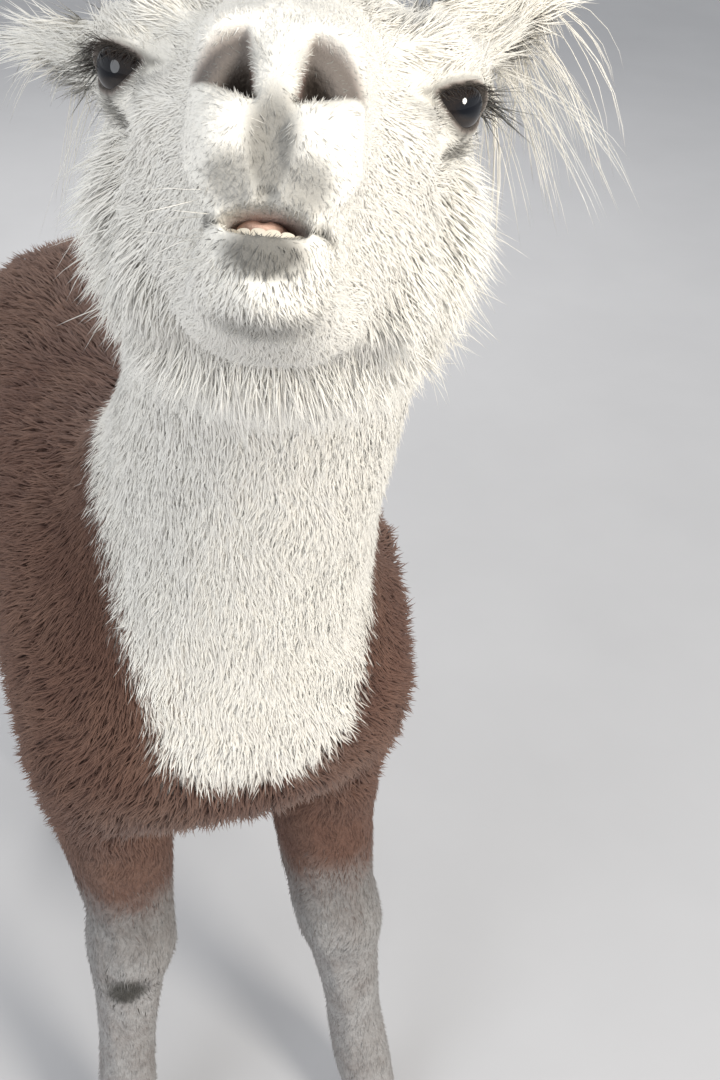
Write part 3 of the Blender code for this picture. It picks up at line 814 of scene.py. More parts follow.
eyePlan = {
    "radius": 0.0168,
    "centre": (0.002, 0.0695, 0.0),
    "gaze": (0.63, 0.75, -0.22),
    "front": 61.0,  # half opening towards the nose, the ear, the brow and the cheek, in degrees
    "back": 51.0,
    "top": 27.0,
    "low": 33.0,
    "roundness": 1.55,  # 2 makes the opening an ellipse, 1 a diamond
    "slant": -10.0,  # the front corner lies lower
    "lid": 0.0022,
    "upperLid": 0.0034,
    "behind": 0.0050,  # how far the skin dips where the eyeball shows
    "fold": 0.0012,  # depth of the fold over the upper lid
    "foldAt": 17,  # degrees outside the opening
    "foldWidth": 4,
    "cover": 0.0016,  # the skin lies at least this far over the eyeball
    "coverMost": 0.012,  # the furthest that it is moved for that
    "skirt": 0.0032,  # height over the eyeball where the skin starts to slope away from the lids
    "skirtFrom": 7,  # degrees outside the opening
    "reach": 0.060,  # nothing further from the eye's middle is changed
    "tearAside": 0.0032,  # how far behind its middle the tear line runs
}


def eyeCross(gaze):
    # the two ways across an eye: towards its front corner, and up
    ahead = unit(vectorOf(1, 0, 0) - gaze * gaze[0])
    rise = np.cross(ahead, gaze)
    rise = rise if rise[2] > 0 else -rise
    slant = math.radians(eyePlan["slant"])
    return ahead * math.cos(slant) + rise * math.sin(slant), rise * math.cos(slant) - ahead * math.sin(slant)


def openingAt(fore, up):
    # half the angle of an eye's opening, in degrees, along one way across it
    wide = np.where(fore > 0, eyePlan["front"], eyePlan["back"])
    tall = np.where(up > 0, eyePlan["top"], eyePlan["low"])
    power = eyePlan["roundness"]
    return ((np.abs(fore) / wide) ** power + (np.abs(up) / tall) ** power) ** (-1 / power)


def eyeAngles(head, sign):
    # for one eye: distance from its middle, degrees outside the opening, and the way across it
    offset = head * mirror(sign) - eyeCentre(1)
    gaze = eyeGaze(1)
    ahead, rise = eyeCross(gaze)
    distance = np.linalg.norm(offset, axis=1)
    away = np.degrees(np.arccos(np.clip(offset @ gaze / np.maximum(distance, 1e-9), -1, 1)))
    fore, up = offset @ ahead, offset @ rise
    length = np.maximum(np.hypot(fore, up), 1e-9)
    fore, up = fore / length, up / length
    return distance, away - openingAt(fore, up), fore, up


def fromEye(angle, sign):
    # the way from an eye's middle to just outside its opening, this far round it
    gaze = eyeGaze(1)
    ahead, rise = eyeCross(gaze)
    fore, up = math.cos(angle), math.sin(angle)
    opening = math.radians(openingAt(fore, up) + lashPlan["outside"])
    return (gaze * math.cos(opening) + (ahead * fore + rise * up) * math.sin(opening)) * mirror(sign)


def liddedHead(skin):
    head = inHead(pointsOf(skin))
    dark, shade, soften = np.zeros(len(head)), np.zeros(len(head)), np.zeros(len(head))
    for sign in sides.values():
        distance, beyond, _, up = eyeAngles(head, sign)
        near = (distance < eyePlan["reach"]) & (head[:, 1] * sign > 0)
        thick = eyePlan["lid"] + (eyePlan["upperLid"] - eyePlan["lid"]) * ease(up, -0.2, 0.5)
        lid = eyePlan["radius"] + thick * ease(beyond, -1.0, 7.0)
        lid = lid - eyePlan["behind"] * (1 - ease(beyond, -7.0, 0.5))  # the skin dips behind the eyeball
        fold = np.exp(-((beyond - eyePlan["foldAt"]) / eyePlan["foldWidth"]) ** 2)
        lid = lid - eyePlan["fold"] * fold * ease(up, 0.0, 0.5)
        hold = (1 - ease(beyond, 8.0, 32.0)) * near
        way = (head - eyeCentre(sign)) / np.maximum(distance, 1e-9)[:, None]
        lift = hold * (lid - distance)
        cover = near * ease(beyond, 0.0, 4.0) * (beyond < 75)  # nothing of the eyeball pokes through
        short = eyePlan["radius"] + eyePlan["cover"] - distance
        lift = np.maximum(lift, cover * np.minimum(short, eyePlan["coverMost"]))
        slope = np.radians(np.clip(beyond - eyePlan["skirtFrom"], 0, 58))
        skirt = (eyePlan["radius"] + eyePlan["skirt"]) / np.cos(slope)
        around = near * ease(beyond, 6.0, 12.0) * (1 - ease(beyond, 50.0, 64.0))
        lift = np.maximum(lift, 0.9 * around * (skirt - distance))  # slopes away from the lids
        soften = np.maximum(soften, near * ease(beyond, 11.0, 26.0) * (1 - ease(beyond, 75.0, 100.0)))
        head = head + lift[:, None] * way
        dark = np.maximum(dark, near * np.exp(-((beyond - 0.5) / 5.0) ** 2))
        # painted shade in a ring just outside each eye's opening, darker below it
        shade = np.maximum(shade, near * (1 - ease(np.abs(beyond - 6), 3, 16)) * (0.55 - 0.15 * up))
    movePoints(skin, relax(fromHead(head), edgesOf(skin), 0.5 * soften, skinPlan["lidRounds"]))
    return dark, shade


def buildSkin():
    skin = joinedFlesh()
    print("skin: fused", len(skin.data.polygons))
    easedSkin(skin)
    unwrapSkin(skin)
    print("skin: unwrapped")
    refinedHead(skin)
    carved = sculptedHead(skin)
    lidDark, lidPaintedShade = liddedHead(skin)
    points, edges = pointsOf(skin), edgesOf(skin)
    head = inHead(points)
    front = ease(head[:, 0], 0.05, 0.08) * 0.35
    movePoints(skin, relax(points, edges, front, 2))
    points = pointsOf(skin)
    marks = marksAt(points)
    # dark marks of the skin: the lids' pigment, painted shade round the eyes, the nostrils' dark skin and
    # painted shade, and painted shade in the closed line of the mouth
    most = skinPlan["mostPigmentAndShade"]
    for dark in (np.clip(skinPlan["lidPigment"] * lidDark, 0, most), lidPaintedShade, most * carved["nostril"],
                 skinPlan["creaseShade"] * carved["crease"]):
        marks[:, 2] = np.maximum(marks[:, 2], dark)
    marks[:, 2] *= 1 - 0.9 * carved["mouth"]
    setAttribute(skin.data, "marks", "FLOAT_COLOR", marks)
    for name in ("tone", "rise"):
        setAttribute(skin.data, name, "FLOAT", np.full(len(points), skinPlan[name]))
    setAttribute(skin.data, "bare", "FLOAT", np.maximum(carved["hole"], lidDark * 0.8))
    makeActive(skin)
    bpy.ops.object.shade_smooth()
    skin.data.materials.append(furFinish("skinCoat", True))
    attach(skin, "root")
    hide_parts(*fleshNodes)
    print("skin: done", len(skin.data.polygons))
    return skin


drawSeeds = {"roots": 11, "tufts": 21, "clumps": 5, "fringe": 77, "lashes": 5}  # others draw another coat
rootPlan = {
    "fade": 0.0075,  # how far from bare skin the tufts are short
    "fadeRounds": 7,
    "bald": 0.72,  # no tuft grows where the skin is barer
    "lidEdge": 2.5,  # nor nearer an eye's opening, in degrees
    "eyeReach": 0.05,  # up to this far from the eye's middle
    "sole": 0.004,  # nor where it is lower
    "blend": 0.0050,  # how far tufts of two colours mix
    "blendLegs": 0.010,  # more of it on the legs
}


def rootsOf(skin):
    # every place that a tuft grows from: point, way out of the skin, place on the unwrap
    mesh = skin.data
    mesh.calc_loop_triangles()
    corner, loop = (numbersOf(mesh.loop_triangles, field, 3, np.int32) for field in ("vertices", "loops"))
    chart = numbersOf(mesh.uv_layers["OFBake"].data, "uv", 2)
    dark = numbersOf(mesh.attributes["marks"].data, "color", 4)[:, 2]
    spread = numbersOf(mesh.attributes["bare"].data, "value", 1)[:, 0].astype(float)
    points, normals, edges = pointsOf(skin), normalsOf(skin), edgesOf(skin)
    # spread fades away from bare places, and tufts are short there
    fall = np.linalg.norm(points[edges[:, 0]] - points[edges[:, 1]], axis=1) / rootPlan["fade"]
    for _ in range(rootPlan["fadeRounds"]):
        nearby = np.zeros_like(spread)
        np.maximum.at(nearby, edges[:, 0], spread[edges[:, 1]] - fall)
        np.maximum.at(nearby, edges[:, 1], spread[edges[:, 0]] - fall)
        spread = np.maximum(spread, nearby)
    a, b, c = points[corner[:, 0]], points[corner[:, 1]], points[corner[:, 2]]
    cross = np.cross(b - a, c - a)
    area = np.linalg.norm(cross, axis=1) / 2
    middle = (a + b + c) / 3
    head = inHead(middle)
    bald = (spread[corner].max(axis=1) > rootPlan["bald"]) | (middle[:, 2] < rootPlan["sole"])
    for sign in sides.values():
        distance, beyond, _, _ = eyeAngles(head, sign)
        bald |= (distance < rootPlan["eyeReach"]) & (beyond < rootPlan["lidEdge"]) & (head[:, 1] * sign > 0)
    weight = area * 1e4 * coatAt(partsAt(middle), "count") * ~bald  # the area in square centimetres
    total = np.cumsum(weight)
    draw = np.random.default_rng(drawSeeds["roots"])
    number = int(total[-1])
    picked = np.searchsorted(total, (np.arange(number) + draw.uniform(0, 1, number)) / number * total[-1])
    picked = np.minimum(picked, len(corner) - 1)
    u, v = draw.uniform(0, 1, number), draw.uniform(0, 1, number)
    over = u + v > 1
    u[over], v[over] = 1 - u[over], 1 - v[over]
    shares = np.column_stack((1 - u - v, u, v))[:, :, None]
    root = (points[corner[picked]] * shares).sum(axis=1)
    out = unitRows((normals[corner[picked]] * shares).sum(axis=1))
    place = (chart[loop[picked]] * shares).sum(axis=1)
    blend = rootPlan["blend"] + rootPlan["blendLegs"] * partsAt(root)["leg"]
    colour = marksAt(root + draw.normal(0, 1, root.shape) * blend[:, None])
    colour[:, 2] = np.maximum(colour[:, 2], (dark[corner[picked]] * shares[:, :, 0]).sum(axis=1))
    short = (spread[corner[picked]] * shares[:, :, 0]).sum(axis=1)
    return {"root": root, "out": out, "chart": place, "marks": colour, "short": short}


def turned(vectors, axes, angles):
    # vectors turned about unit axes
    c, s = np.cos(angles)[:, None], np.sin(angles)[:, None]
    return vectors * c + np.cross(axes, vectors) * s + axes * (vectors * axes).sum(axis=1)[:, None] * (1 - c)


tuftPlan = {
    "sunk": 0.0006,  # how far its foot lies under the skin
    "section": ((1, -0.22), (-1, -0.22), (0, 0.62)),  # a flat triangle: aside and out, for a width of 2
    "shortSunk": 0.0005,
    "shortSection": ((1, -0.15), (-1, -0.15), (0, 0.75)),
    "taper": ((0, 0.3, 0.7, 1), (0.7, 1.0, 0.8, 0.25)),  # places up the tuft, and its width there
    "patch": 0.003,  # each tuft's own patch of the unwrap
    "lowest": 0.0004,
    "bendsAt": 0.190,  # loose hair bends in before it leaves the part's box
    "bendsIn": 0.027,
}


def spineOf(tufts, stops):
    # each tuft's middle line: it rises, then lies down, sags and curls
    out, way = tufts["out"], tufts["way"]
    lift, lay = np.radians(tufts["lift"]), np.radians(tufts["lay"])
    across = np.cross(out, way)
    spine, heading = [tufts["root"] - out * tuftPlan["sunk"]], []
    for k in range(1, len(stops)):
        share = (stops[k] + stops[k - 1]) / 2
        angle = lift + (lay - lift) * min(1.0, share * 1.5)
        step = way * np.cos(angle)[:, None] + out * np.sin(angle)[:, None]
        step = step + downWay * (tufts["sag"] * share)[:, None] + across * (tufts["curl"] * share)[:, None]
        if "wave" in tufts:
            step = step + across * (tufts["wave"] * np.sin(share * 9 + tufts["phase"]))[:, None]
        step = unitRows(step)
        heading.append(step)
        spine.append(spine[-1] + step * tufts["length"][:, None] * (stops[k] - stops[k - 1]))
    if "pull" in tufts:  # the tips of a clump lean together
        for k in range(1, len(stops)):
            spine[k] = spine[k] + tufts["pull"] * (stops[k] ** 1.6)
    return spine, heading


def spindleFaces(rings):
    faces = [(0, 2, 1), (0, 3, 2), (0, 1, 3)]
    for k in range(rings - 1):
        for i, j in ((0, 1), (1, 2), (2, 0)):
            a, b, c, d = 1 + 3 * k + i, 1 + 3 * k + j, 4 + 3 * k + j, 4 + 3 * k + i
            faces += [(a, b, c), (a, c, d)]
    last, tip = 3 * rings - 2, 3 * rings + 1
    return faces + [(last, last + 1, tip), (last + 1, last + 2, tip), (last + 2, last, tip)]


def strandShape(tufts, rings):
    # a spindle of three sides for each tuft, closed at both ends: its points, faces and height up the tuft
    stops = np.linspace(0, 1, rings + 2)[1:-1] ** 1.15 if rings > 1 else vectorOf(0.36)
    stops = np.concatenate(([0.0], stops, [1.0]))
    spine, heading = spineOf(tufts, stops)
    points = np.empty((len(spine[0]), 3 * rings + 2, 3))
    points[:, 0], points[:, -1] = spine[0], spine[-1]
    facing = points.copy()
    facing[:, 0], facing[:, -1] = -heading[0], heading[-1]
    width, roll = tufts["width"][:, None], tufts["roll"][:, None]
    for k in range(rings):
        side, top = crossWays(unitRows(heading[k] + heading[k + 1]), tufts["out"], roll)
        taper = 1.0 if rings == 1 else float(np.interp(stops[k + 1], *tuftPlan["taper"]))
        for i, (aside, above) in enumerate(tuftPlan["section"]):
            facing[:, 1 + 3 * k + i] = side * aside + top * above
            points[:, 1 + 3 * k + i] = spine[k + 1] + facing[:, 1 + 3 * k + i] * width * taper / 2
    climb = np.concatenate(([0.0], np.repeat(stops[1:-1], 3), [1.0]))
    return points, facing, spindleFaces(rings), climb


def spikeShape(tufts):
    # the shortest hair: a sliver of four faces, its foot sunk in the skin
    root, out, way = tufts["root"], tufts["out"], tufts["way"]
    angle = np.radians(tufts["lift"] + tufts["lay"])[:, None] / 2
    along = way * np.cos(angle) + out * np.sin(angle)
    side, top = crossWays(along, out, tufts["roll"][:, None] * 0.5)
    points = np.empty((len(root), 4, 3))
    facing = points.copy()
    foot = root - out * tuftPlan["shortSunk"]
    points[:, 3] = foot + along * tufts["length"][:, None] + tufts["pull"]
    facing[:, 3] = along
    for i, (aside, above) in enumerate(tuftPlan["shortSection"]):
        facing[:, i] = side * aside + top * above
        points[:, i] = foot + facing[:, i] * tufts["width"][:, None] / 2
    return points, facing, [(0, 2, 1), (0, 1, 3), (1, 2, 3), (2, 0, 3)], vectorOf(0.1, 0.1, 0.1, 1.0)


def crossWays(along, out, roll):
    # the two ways across a tuft, turned about it by its roll
    side = unitRows(np.cross(along, out))
    top = np.cross(side, along)
    return side * np.cos(roll) + top * np.sin(roll), top * np.cos(roll) - side * np.sin(roll)


def keepIn(points):
    # keeps tufts over the ground, and bends them in at the sides
    points[:, :, 2] = np.maximum(points[:, :, 2], tuftPlan["lowest"])
    beyond, bend = np.abs(points[:, :, 0]) - tuftPlan["bendsAt"], tuftPlan["bendsIn"]
    back = np.where(beyond > 0, beyond - bend * np.tanh(beyond / bend), 0)
    points[:, :, 0] -= np.sign(points[:, :, 0]) * back


def triangleMesh(name, points, corners):
    mesh = bpy.data.meshes.new(name)
    mesh.vertices.add(len(points))
    mesh.vertices.foreach_set("co", points.astype(np.float32).ravel())
    mesh.loops.add(corners.size)
    mesh.loops.foreach_set("vertex_index", corners.astype(np.int32).ravel())
    mesh.polygons.add(len(corners))
    mesh.polygons.foreach_set("loop_start", np.arange(0, corners.size, 3, dtype=np.int32))
    mesh.polygons.foreach_set("use_smooth", np.ones(len(corners), bool))
    mesh.update(calc_edges=True)
    return mesh


def tuftMesh(name, tufts, rings, finish, softness):
    points, facing, faces, climb = strandShape(tufts, rings) if rings else spikeShape(tufts)
    number, rows = points.shape[:2]
    keepIn(points)
    corners = (np.array(faces)[None] + (np.arange(number) * rows)[:, None, None]).reshape(-1, 3)
    mesh = triangleMesh(name, points.reshape(-1, 3), corners)
    offset = np.column_stack((np.zeros(rows), (climb - 0.5) * tuftPlan["patch"]))
    ring = slice(1, rows - 1) if rings else slice(0, 3)
    offset[ring, 0] = np.tile((-0.5, 0.5, 0), max(rings, 1)) * tuftPlan["patch"]
    chart = np.clip(tufts["chart"][:, None, :] + offset[None], 0, 1).reshape(-1, 2)
    layer = mesh.uv_layers.new(name="OFBake")
    layer.data.foreach_set("uv", chart[corners.ravel()].astype(np.float32).ravel())
    setAttribute(mesh, "marks", "FLOAT_COLOR", np.repeat(tufts["marks"], rows, axis=0))
    setAttribute(mesh, "tone", "FLOAT", np.repeat(tufts["tone"], rows))
    setAttribute(mesh, "rise", "FLOAT", np.tile(climb, number))
    mesh.materials.append(finish)
    if softness:  # shades the tufts partly as the skin below them, so that the coat looks soft
        facing = unitRows(facing.reshape(-1, 3))
        soft = np.repeat(tufts["out"], rows, axis=0) * softness + facing * (1 - softness)
        setAttribute(mesh, "custom_normal", "FLOAT_VECTOR", soft)
    piece = newThing(name, mesh)
    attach(piece, "root")
    print(name, number, "tufts", len(corners), "triangles")


varyPlan = {
    # how tufts differ: the least and most of what coatPlan gives, or how far a number strays
    "length": (0.70, 1.22),
    "width": (0.7, 1.2),
    "lift": (0.6, 1.35),
    "lay": (0.2, 1.7),
    "roll": (-0.9, 0.9),  # radians about itself
    "way": 0.04,
    "swirl": 0.20,
    "curl": 0.22,
    "tone": 0.17,
    "swirlSize": 0.06,  # size of the patches that lie one way, and how far they turn
    "swirlTurn": 0.30,
    "toneSize": 0.05,  # the same for patches of lighter hair
    "toneRise": 0.14,
    "shorter": 0.75,  # what bare skin takes of the length beside it
    "muzzleShort": 0.22,  # what the muzzle and the lids take of it
    "lidShort": 0.55,
    "browLong": 1.3,  # what it gains over the eye and behind it
    "socketLong": 2.2,
    "eyeReach": 0.055,  # up to this far from the eye's middle
}


def dressed(roots, seed):
    # gives every root its lie, length, lift, clump and colour
    draw = np.random.default_rng(seed)
    root, out = roots["root"], roots["out"]
    number = len(root)
    parts = partsAt(root)
    way = laidFlat(lieAt(root, parts), out)
    way = unitRows(laidFlat(way + draw.normal(0, varyPlan["way"], way.shape), out))
    swirl = wobble(root, varyPlan["swirlSize"], seed + 1) * varyPlan["swirlTurn"]
    roots["way"] = turned(way, out, swirl + draw.normal(0, varyPlan["swirl"], number))
    vary = draw.uniform(*varyPlan["length"], number)
    roots["length"] = coatAt(parts, "length") * vary * (1 - varyPlan["shorter"] * roots["short"])
    head = inHead(root)
    roots["length"] *= 1 - varyPlan["muzzleShort"] * ease(head[:, 0], 0.11, 0.14)
    for sign in sides.values():  # short round the lids, and long wool over the back of the socket
        distance, beyond, fore, up = eyeAngles(head, sign)
        near = (distance < varyPlan["eyeReach"]) * parts["face"]
        roots["length"] *= 1 - varyPlan["lidShort"] * near * (1 - ease(beyond, 4.0, 20.0))
        brow = varyPlan["browLong"] * near * ease(beyond, 8.0, 22.0) * ease(up, 0.1, 0.6)
        socket = varyPlan["socketLong"] * near * ease(beyond, 10.0, 36.0) * ease(-fore, -0.1, 0.4)
        roots["length"] *= 1 + brow
        roots["length"] *= 1 + socket
    for term in ("width", "lift", "lay"):
        roots[term] = coatAt(parts, term) * draw.uniform(*varyPlan[term], number)
    roots["curl"] = draw.normal(0, varyPlan["curl"], number)
    roots["sag"] = 0.30 * (parts["cheek"] + parts["tail"]) + 0.12 * parts["neck"]
    roots["roll"] = draw.uniform(*varyPlan["roll"], number)
    tone = 0.5 + wobble(root, varyPlan["toneSize"], seed + 2) * varyPlan["toneRise"]
    roots["tone"] = np.clip(tone + draw.normal(0, varyPlan["tone"], number), 0, 1)
    roots["clump"] = coatAt(parts, "clump")
    return parts


clumpPlan = {
    "tufts": 9,  # in a clump
    "meet": 0.9,  # how far up their length they meet
    "most": 0.7,  # share of its length that a tip may move
}


def clumped(roots, seed):
    # pulls the tips of neighbouring tufts together
    draw = np.random.default_rng(seed)
    root = roots["root"]
    leaders = draw.permutation(len(root))[: max(1, len(root) // clumpPlan["tufts"])]
    tree = kdtree.KDTree(len(leaders))
    for k, index in enumerate(leaders):
        tree.insert(root[index], k)
    tree.balance()
    nearest = np.array([leaders[tree.find(point)[1]] for point in root])
    lead = roots["way"][nearest] * roots["length"][nearest][:, None] * clumpPlan["meet"]
    own = roots["way"] * roots["length"][:, None] * clumpPlan["meet"]
    aim = root[nearest] + lead - (root + own)
    reach = np.linalg.norm(aim, axis=1)[:, None]
    aim = aim * np.minimum(1, clumpPlan["most"] * roots["length"][:, None] / np.maximum(reach, 1e-6))
    pull = aim * roots["clump"][:, None]
    roots["pull"] = pull - roots["out"] * np.minimum(0, (pull * roots["out"]).sum(axis=1))[:, None]


def chosen(roots, mask):
    return {key: value[mask] for key, value in roots.items()}


# how far the shading of each piece's tufts follows the skin below them, so that the coat looks soft
softPlan = {"coat_face": 0.55, "coat_ears": 0.3, "coat_cheek_left": 0.65, "coat_cheek_right": 0.65,
            "others": 0.78}
# heights where the pieces of the neck's coat meet, and distances back for the trunk's
coatCuts = {"neck": (1.02, 1.15), "trunk": (0.17, 0.47)}


def buildCoat(skin):
    roots = rootsOf(skin)
    parts = dressed(roots, drawSeeds["tufts"])
    clumped(roots, drawSeeds["clumps"])
    fur = furFinish("woolCoat", False)
    names = list(parts)
    main = np.array(names)[np.argmax(np.column_stack([parts[name] for name in names]), axis=1)]
    body = roots["root"] - bodyPlace
    left = inHead(roots["root"])[:, 1] > 0
    onNeck = np.searchsorted(coatCuts["neck"], body[:, 2]) + 3 * (main != "neck")  # 0, 1 and 2, from below
    onTrunk = np.searchsorted(coatCuts["trunk"], body[:, 1], "right") + 3 * (main != "trunk")
    pieces = (
        ("coat_face", main == "face", 1, "white_coat"),
        ("coat_jaw", main == "jaw", 1, "white_coat"),
        ("coat_cheek_left", (main == "cheek") & left, 2, "white_coat"),
        ("coat_cheek_right", (main == "cheek") & ~left, 2, "white_coat"),
        ("coat_ears", main == "ear", 1, "white_coat"),
        ("coat_neck_upper", onNeck == 2, 1, "white_coat"),
        ("coat_neck_middle", onNeck == 1, 1, "white_coat"),
        ("coat_neck_lower", onNeck == 0, 1, "white_coat"),
        ("coat_shoulders", onTrunk == 0, 1, "brown_coat"),
        ("coat_flanks", onTrunk == 1, 1, "brown_coat"),
        ("coat_rump", onTrunk == 2, 1, "brown_coat"),
        ("coat_legs", (main == "leg") | (main == "foot"), 0, "leg_coat"),
        ("coat_tail", main == "tail", 3, "brown_coat"),
    )
    for name, mask, rings, slot in pieces:  # each tuft has this many rings between its foot and tip
        tuftMesh(name, chosen(roots, mask), rings, fur, softPlan.get(name, softPlan["others"]))
    buildFringe(roots, parts, fur)
    buildLashes()


fringePlan = {
    # locks, hairs in each, shortest, longest, width, least and most sag
    "ears": (90, 5, 0.030, 0.145, 0.0006, 0.6, 1.9),
    "jaw": (1500, 1, 0.028, 0.052, 0.0005, 0.1, 0.5),
    "whiskers": (34, 1, 0.014, 0.030, 0.0003, 0.1, 0.5),
}


def buildFringe(roots, parts, fur):
    # long loose hairs: under the ears, round the jaw, and a few whiskers
    draw = np.random.default_rng(drawSeeds["fringe"])
    head = inHead(roots["root"])
    side = np.sign(head[:, 1])[:, None]
    low = roots["out"] @ downWay
    share, _ = alongEar(head)
    groups = {
        "ears": (parts["ear"] > 0.4) * (0.15 + ease(low, -0.3, 0.6)) * ease(share, 0.05, 0.5)
                * np.where(side[:, 0] > 0, 1.0, 0.22),
        "jaw": parts["cheek"] * ease(np.abs(head[:, 1]), 0.055, 0.085) * ease(-head[:, 0], 0.02, 0.06),
        "whiskers": (parts["face"] + parts["jaw"]) * ease(head[:, 0], 0.10, 0.12)
                    * ease(np.abs(head[:, 1]), 0.016, 0.026) * ease(-head[:, 2], 0.074, 0.088),
    }
    ways = {
        "ears": forwardWay * -0.10 + side * leftWay * 0.50 + downWay * 0.50,
        "jaw": forwardWay * -0.35 + side * leftWay * 0.55 + downWay * 0.60,
        "whiskers": forwardWay * 0.10 + side * leftWay * 0.95 + downWay * 0.25,
    }
    for name, weight in groups.items():
        locks, hairs, shortest, longest, width, light, heavy = fringePlan[name]
        number = locks * hairs
        picked = np.repeat(draw.choice(len(weight), locks, replace=False, p=weight / weight.sum()), hairs)
        long = chosen(roots, picked)
        long["root"] = long["root"] + draw.normal(0, 0.0012, (number, 3)) * (hairs > 1)
        way = ways[name][picked] + np.repeat(draw.normal(0, 0.30, (locks, 3)), hairs, axis=0)
        long["way"] = unitRows(way + draw.normal(0, 0.07, (number, 3)))
        reach = np.repeat(draw.uniform(0, 1, locks), hairs) ** 1.6 * draw.uniform(0.75, 1.0, number)
        long["length"] = shortest + (longest - shortest) * reach
        long["width"] = width * draw.uniform(0.7, 1.3, number)
        long["lift"] = draw.uniform(0, 18, number)
        long["lay"] = draw.uniform(-6, 8, number)
        long["sag"] = np.repeat(draw.uniform(light, heavy, locks), hairs)
        long["curl"] = np.repeat(draw.normal(0, 0.20, locks), hairs)
        long["wave"], long["phase"] = draw.uniform(0, 0.12, number), draw.uniform(0, 6, number)
        long["marks"][:, 2] *= 0.3  # pale even where the hair about them is dark
        del long["pull"]
        tuftMesh(f"hair_{name}", long, 5, fur, 0.0)


lashPlan = {
    "number": {"left": 70, "right": 150},
    "length": (0.006, 0.0130),
    "width": 0.00036,
    "out": 0.0026,  # how far out from the eyeball they are rooted
    "outside": 3.0,  # how far outside the opening, in degrees
    "way": (0.85, 0.55, 0.35),  # shares of the gaze, of away from its middle, and of down
    "stray": 0.22,
    "colours": ((0.020, 0.016, 0.014), (0.07, 0.055, 0.045)),
}


def lashFinish():
    finish, shader, start, place = newFinish("lash", Roughness=0.5, Specular_IOR_Level=0.4)
    feed(start, shader, Base_Color=place.noise(600.0).mix(*lashPlan["colours"]))
    return finish


def buildLashes():
    # dark lashes along the upper lids
    draw = np.random.default_rng(drawSeeds["lashes"])
    finish = lashFinish()
    ahead, aside, down = lashPlan["way"]
    for side, sign in sides.items():
        number = lashPlan["number"][side]
        spread = np.linspace(-0.02, 1.00, number) * math.pi
        sweep = np.column_stack([fromEye(angle, sign) for angle in spread]).T
        gaze = eyeGaze(sign)
        rim = eyeCentre(sign) + sweep * (eyePlan["radius"] + lashPlan["out"])
        root = fromHead(rim + draw.normal(0, 0.0005, (number, 3)))
        out = sweep @ headTurn.T
        flat = (sweep - gaze * (sweep @ gaze)[:, None]) @ headTurn.T
        way = gaze @ headTurn.T * ahead + flat * aside + downWay * down
        way = way + draw.normal(0, lashPlan["stray"], (number, 3))
        lashes = {
            "root": root, "out": out, "way": unitRows(way),
            "chart": np.column_stack((np.linspace(0.05, 0.95, number), np.full(number, 0.5))),
            "length": draw.uniform(*lashPlan["length"], number), "width": np.full(number, lashPlan["width"]),
            "lift": np.zeros(number), "lay": np.zeros(number), "sag": np.full(number, 0.15),
            "curl": draw.normal(0, 0.1, number), "roll": np.zeros(number), "tone": np.full(number, 0.5),
            "marks": np.tile((0.0, 0.0, 1.0, 1.0), (number, 1)),
        }
        tuftMesh(f"lashes_{side}", lashes, 3, finish, 0.0)


irisPlan = {
    "pupil": (0.003, 0.004, 0.007),
    "dark": (0.006, 0.005, 0.005),
    "light": (0.028, 0.017, 0.012),
    "rim": (0.012, 0.010, 0.010),
    "fibres": 900.0,  # scale of the iris's grain
    "flat": (0.45, 1.9),  # the pupil is wider than high
}


def eyeFinish(name, centre, turn):
    # dark iris and a level pupil, about the way that the eye looks
    material, shader, start, place = newFinish(name, Roughness=0.06, Coat_Weight=0.75, Coat_Roughness=0.02,
                                               Specular_IOR_Level=0.12)
    local = start.node("Mapping", {"vector_type": "TEXTURE"},
                       {"Vector": place, "Location": tuple(centre), "Rotation": turn.to_euler()})
    parts = start.node("SeparateXYZ", {}, {"Vector": local})
    x, y = parts.part(0), parts.part(1)
    away = (x * x + y * y) ** 0.5
    fibres = local.noise(irisPlan["fibres"], 4.0)
    iris = (fibres * 1.6 - 0.4).clipped().mix(irisPlan["dark"], irisPlan["light"])
    wide, tall = irisPlan["flat"]
    pupil = ((x * x * wide + y * y * tall) ** 0.5 * 420.0 - 2.2).clipped()
    rimmed = (away * 900.0 - 13.4).clipped()
    colour = rimmed.mix(pupil.mix(irisPlan["pupil"], iris), irisPlan["rim"])
    feed(start, shader, Base_Color=colour, Roughness=0.05 + fibres * 0.05)
    return material


def buildEyes():
    for side, sign in sides.items():
        centre = fromHead(eyeCentre(sign))
        deselect()
        bpy.ops.mesh.primitive_uv_sphere_add(segments=64, ring_count=40, radius=eyePlan["radius"])
        eye = bpy.context.object
        eye.name = eye.data.name = f"eyeball_{side}"
        points = pointsOf(eye)
        height = points[:, 2] / eyePlan["radius"]
        bulge = 1 + 0.07 * ease(height, 0.72, 1.0)  # the cornea stands a little proud
        movePoints(eye, points * bulge[:, None])
        turn = Vector(headTurn @ eyeGaze(sign)).to_track_quat("Z", "Y")
        eye.matrix_world = Matrix.Translation(Vector(centre)) @ turn.to_matrix().to_4x4()
        makeActive(eye)
        bpy.ops.object.transform_apply()
        bpy.ops.object.shade_smooth()
        eye.data.materials.append(eyeFinish(f"eyeGloss_{side}", centre, turn))
        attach(eye, "root")
        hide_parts(f"eye_{side}")


teethPlan = {
    "number": 6,
    "size": (0.0058, 0.0024, 0.0095),  # across, front to back, height
    "arc": 76.0,
    "middle": 0.1225,  # how far forward the arc's middle is
    "reach": 0.0195,
    "top": -0.0912,
    "tilt": (4, -8),  # degrees: each one its own way, and all of them back
    "colours": ((0.84, 0.79, 0.69), (0.68, 0.60, 0.46)),  # clean and stained
}
tonguePlan = {
    "place": (0.1165, -0.0020, -0.0905),
    "halves": (0.0205, 0.0105, 0.0056),
    "groove": 0.16,  # its depth and half width for a tongue of half size 1
    "grooveWidth": 0.22,
    "colours": ((0.56, 0.33, 0.26), (0.74, 0.53, 0.42)),
}


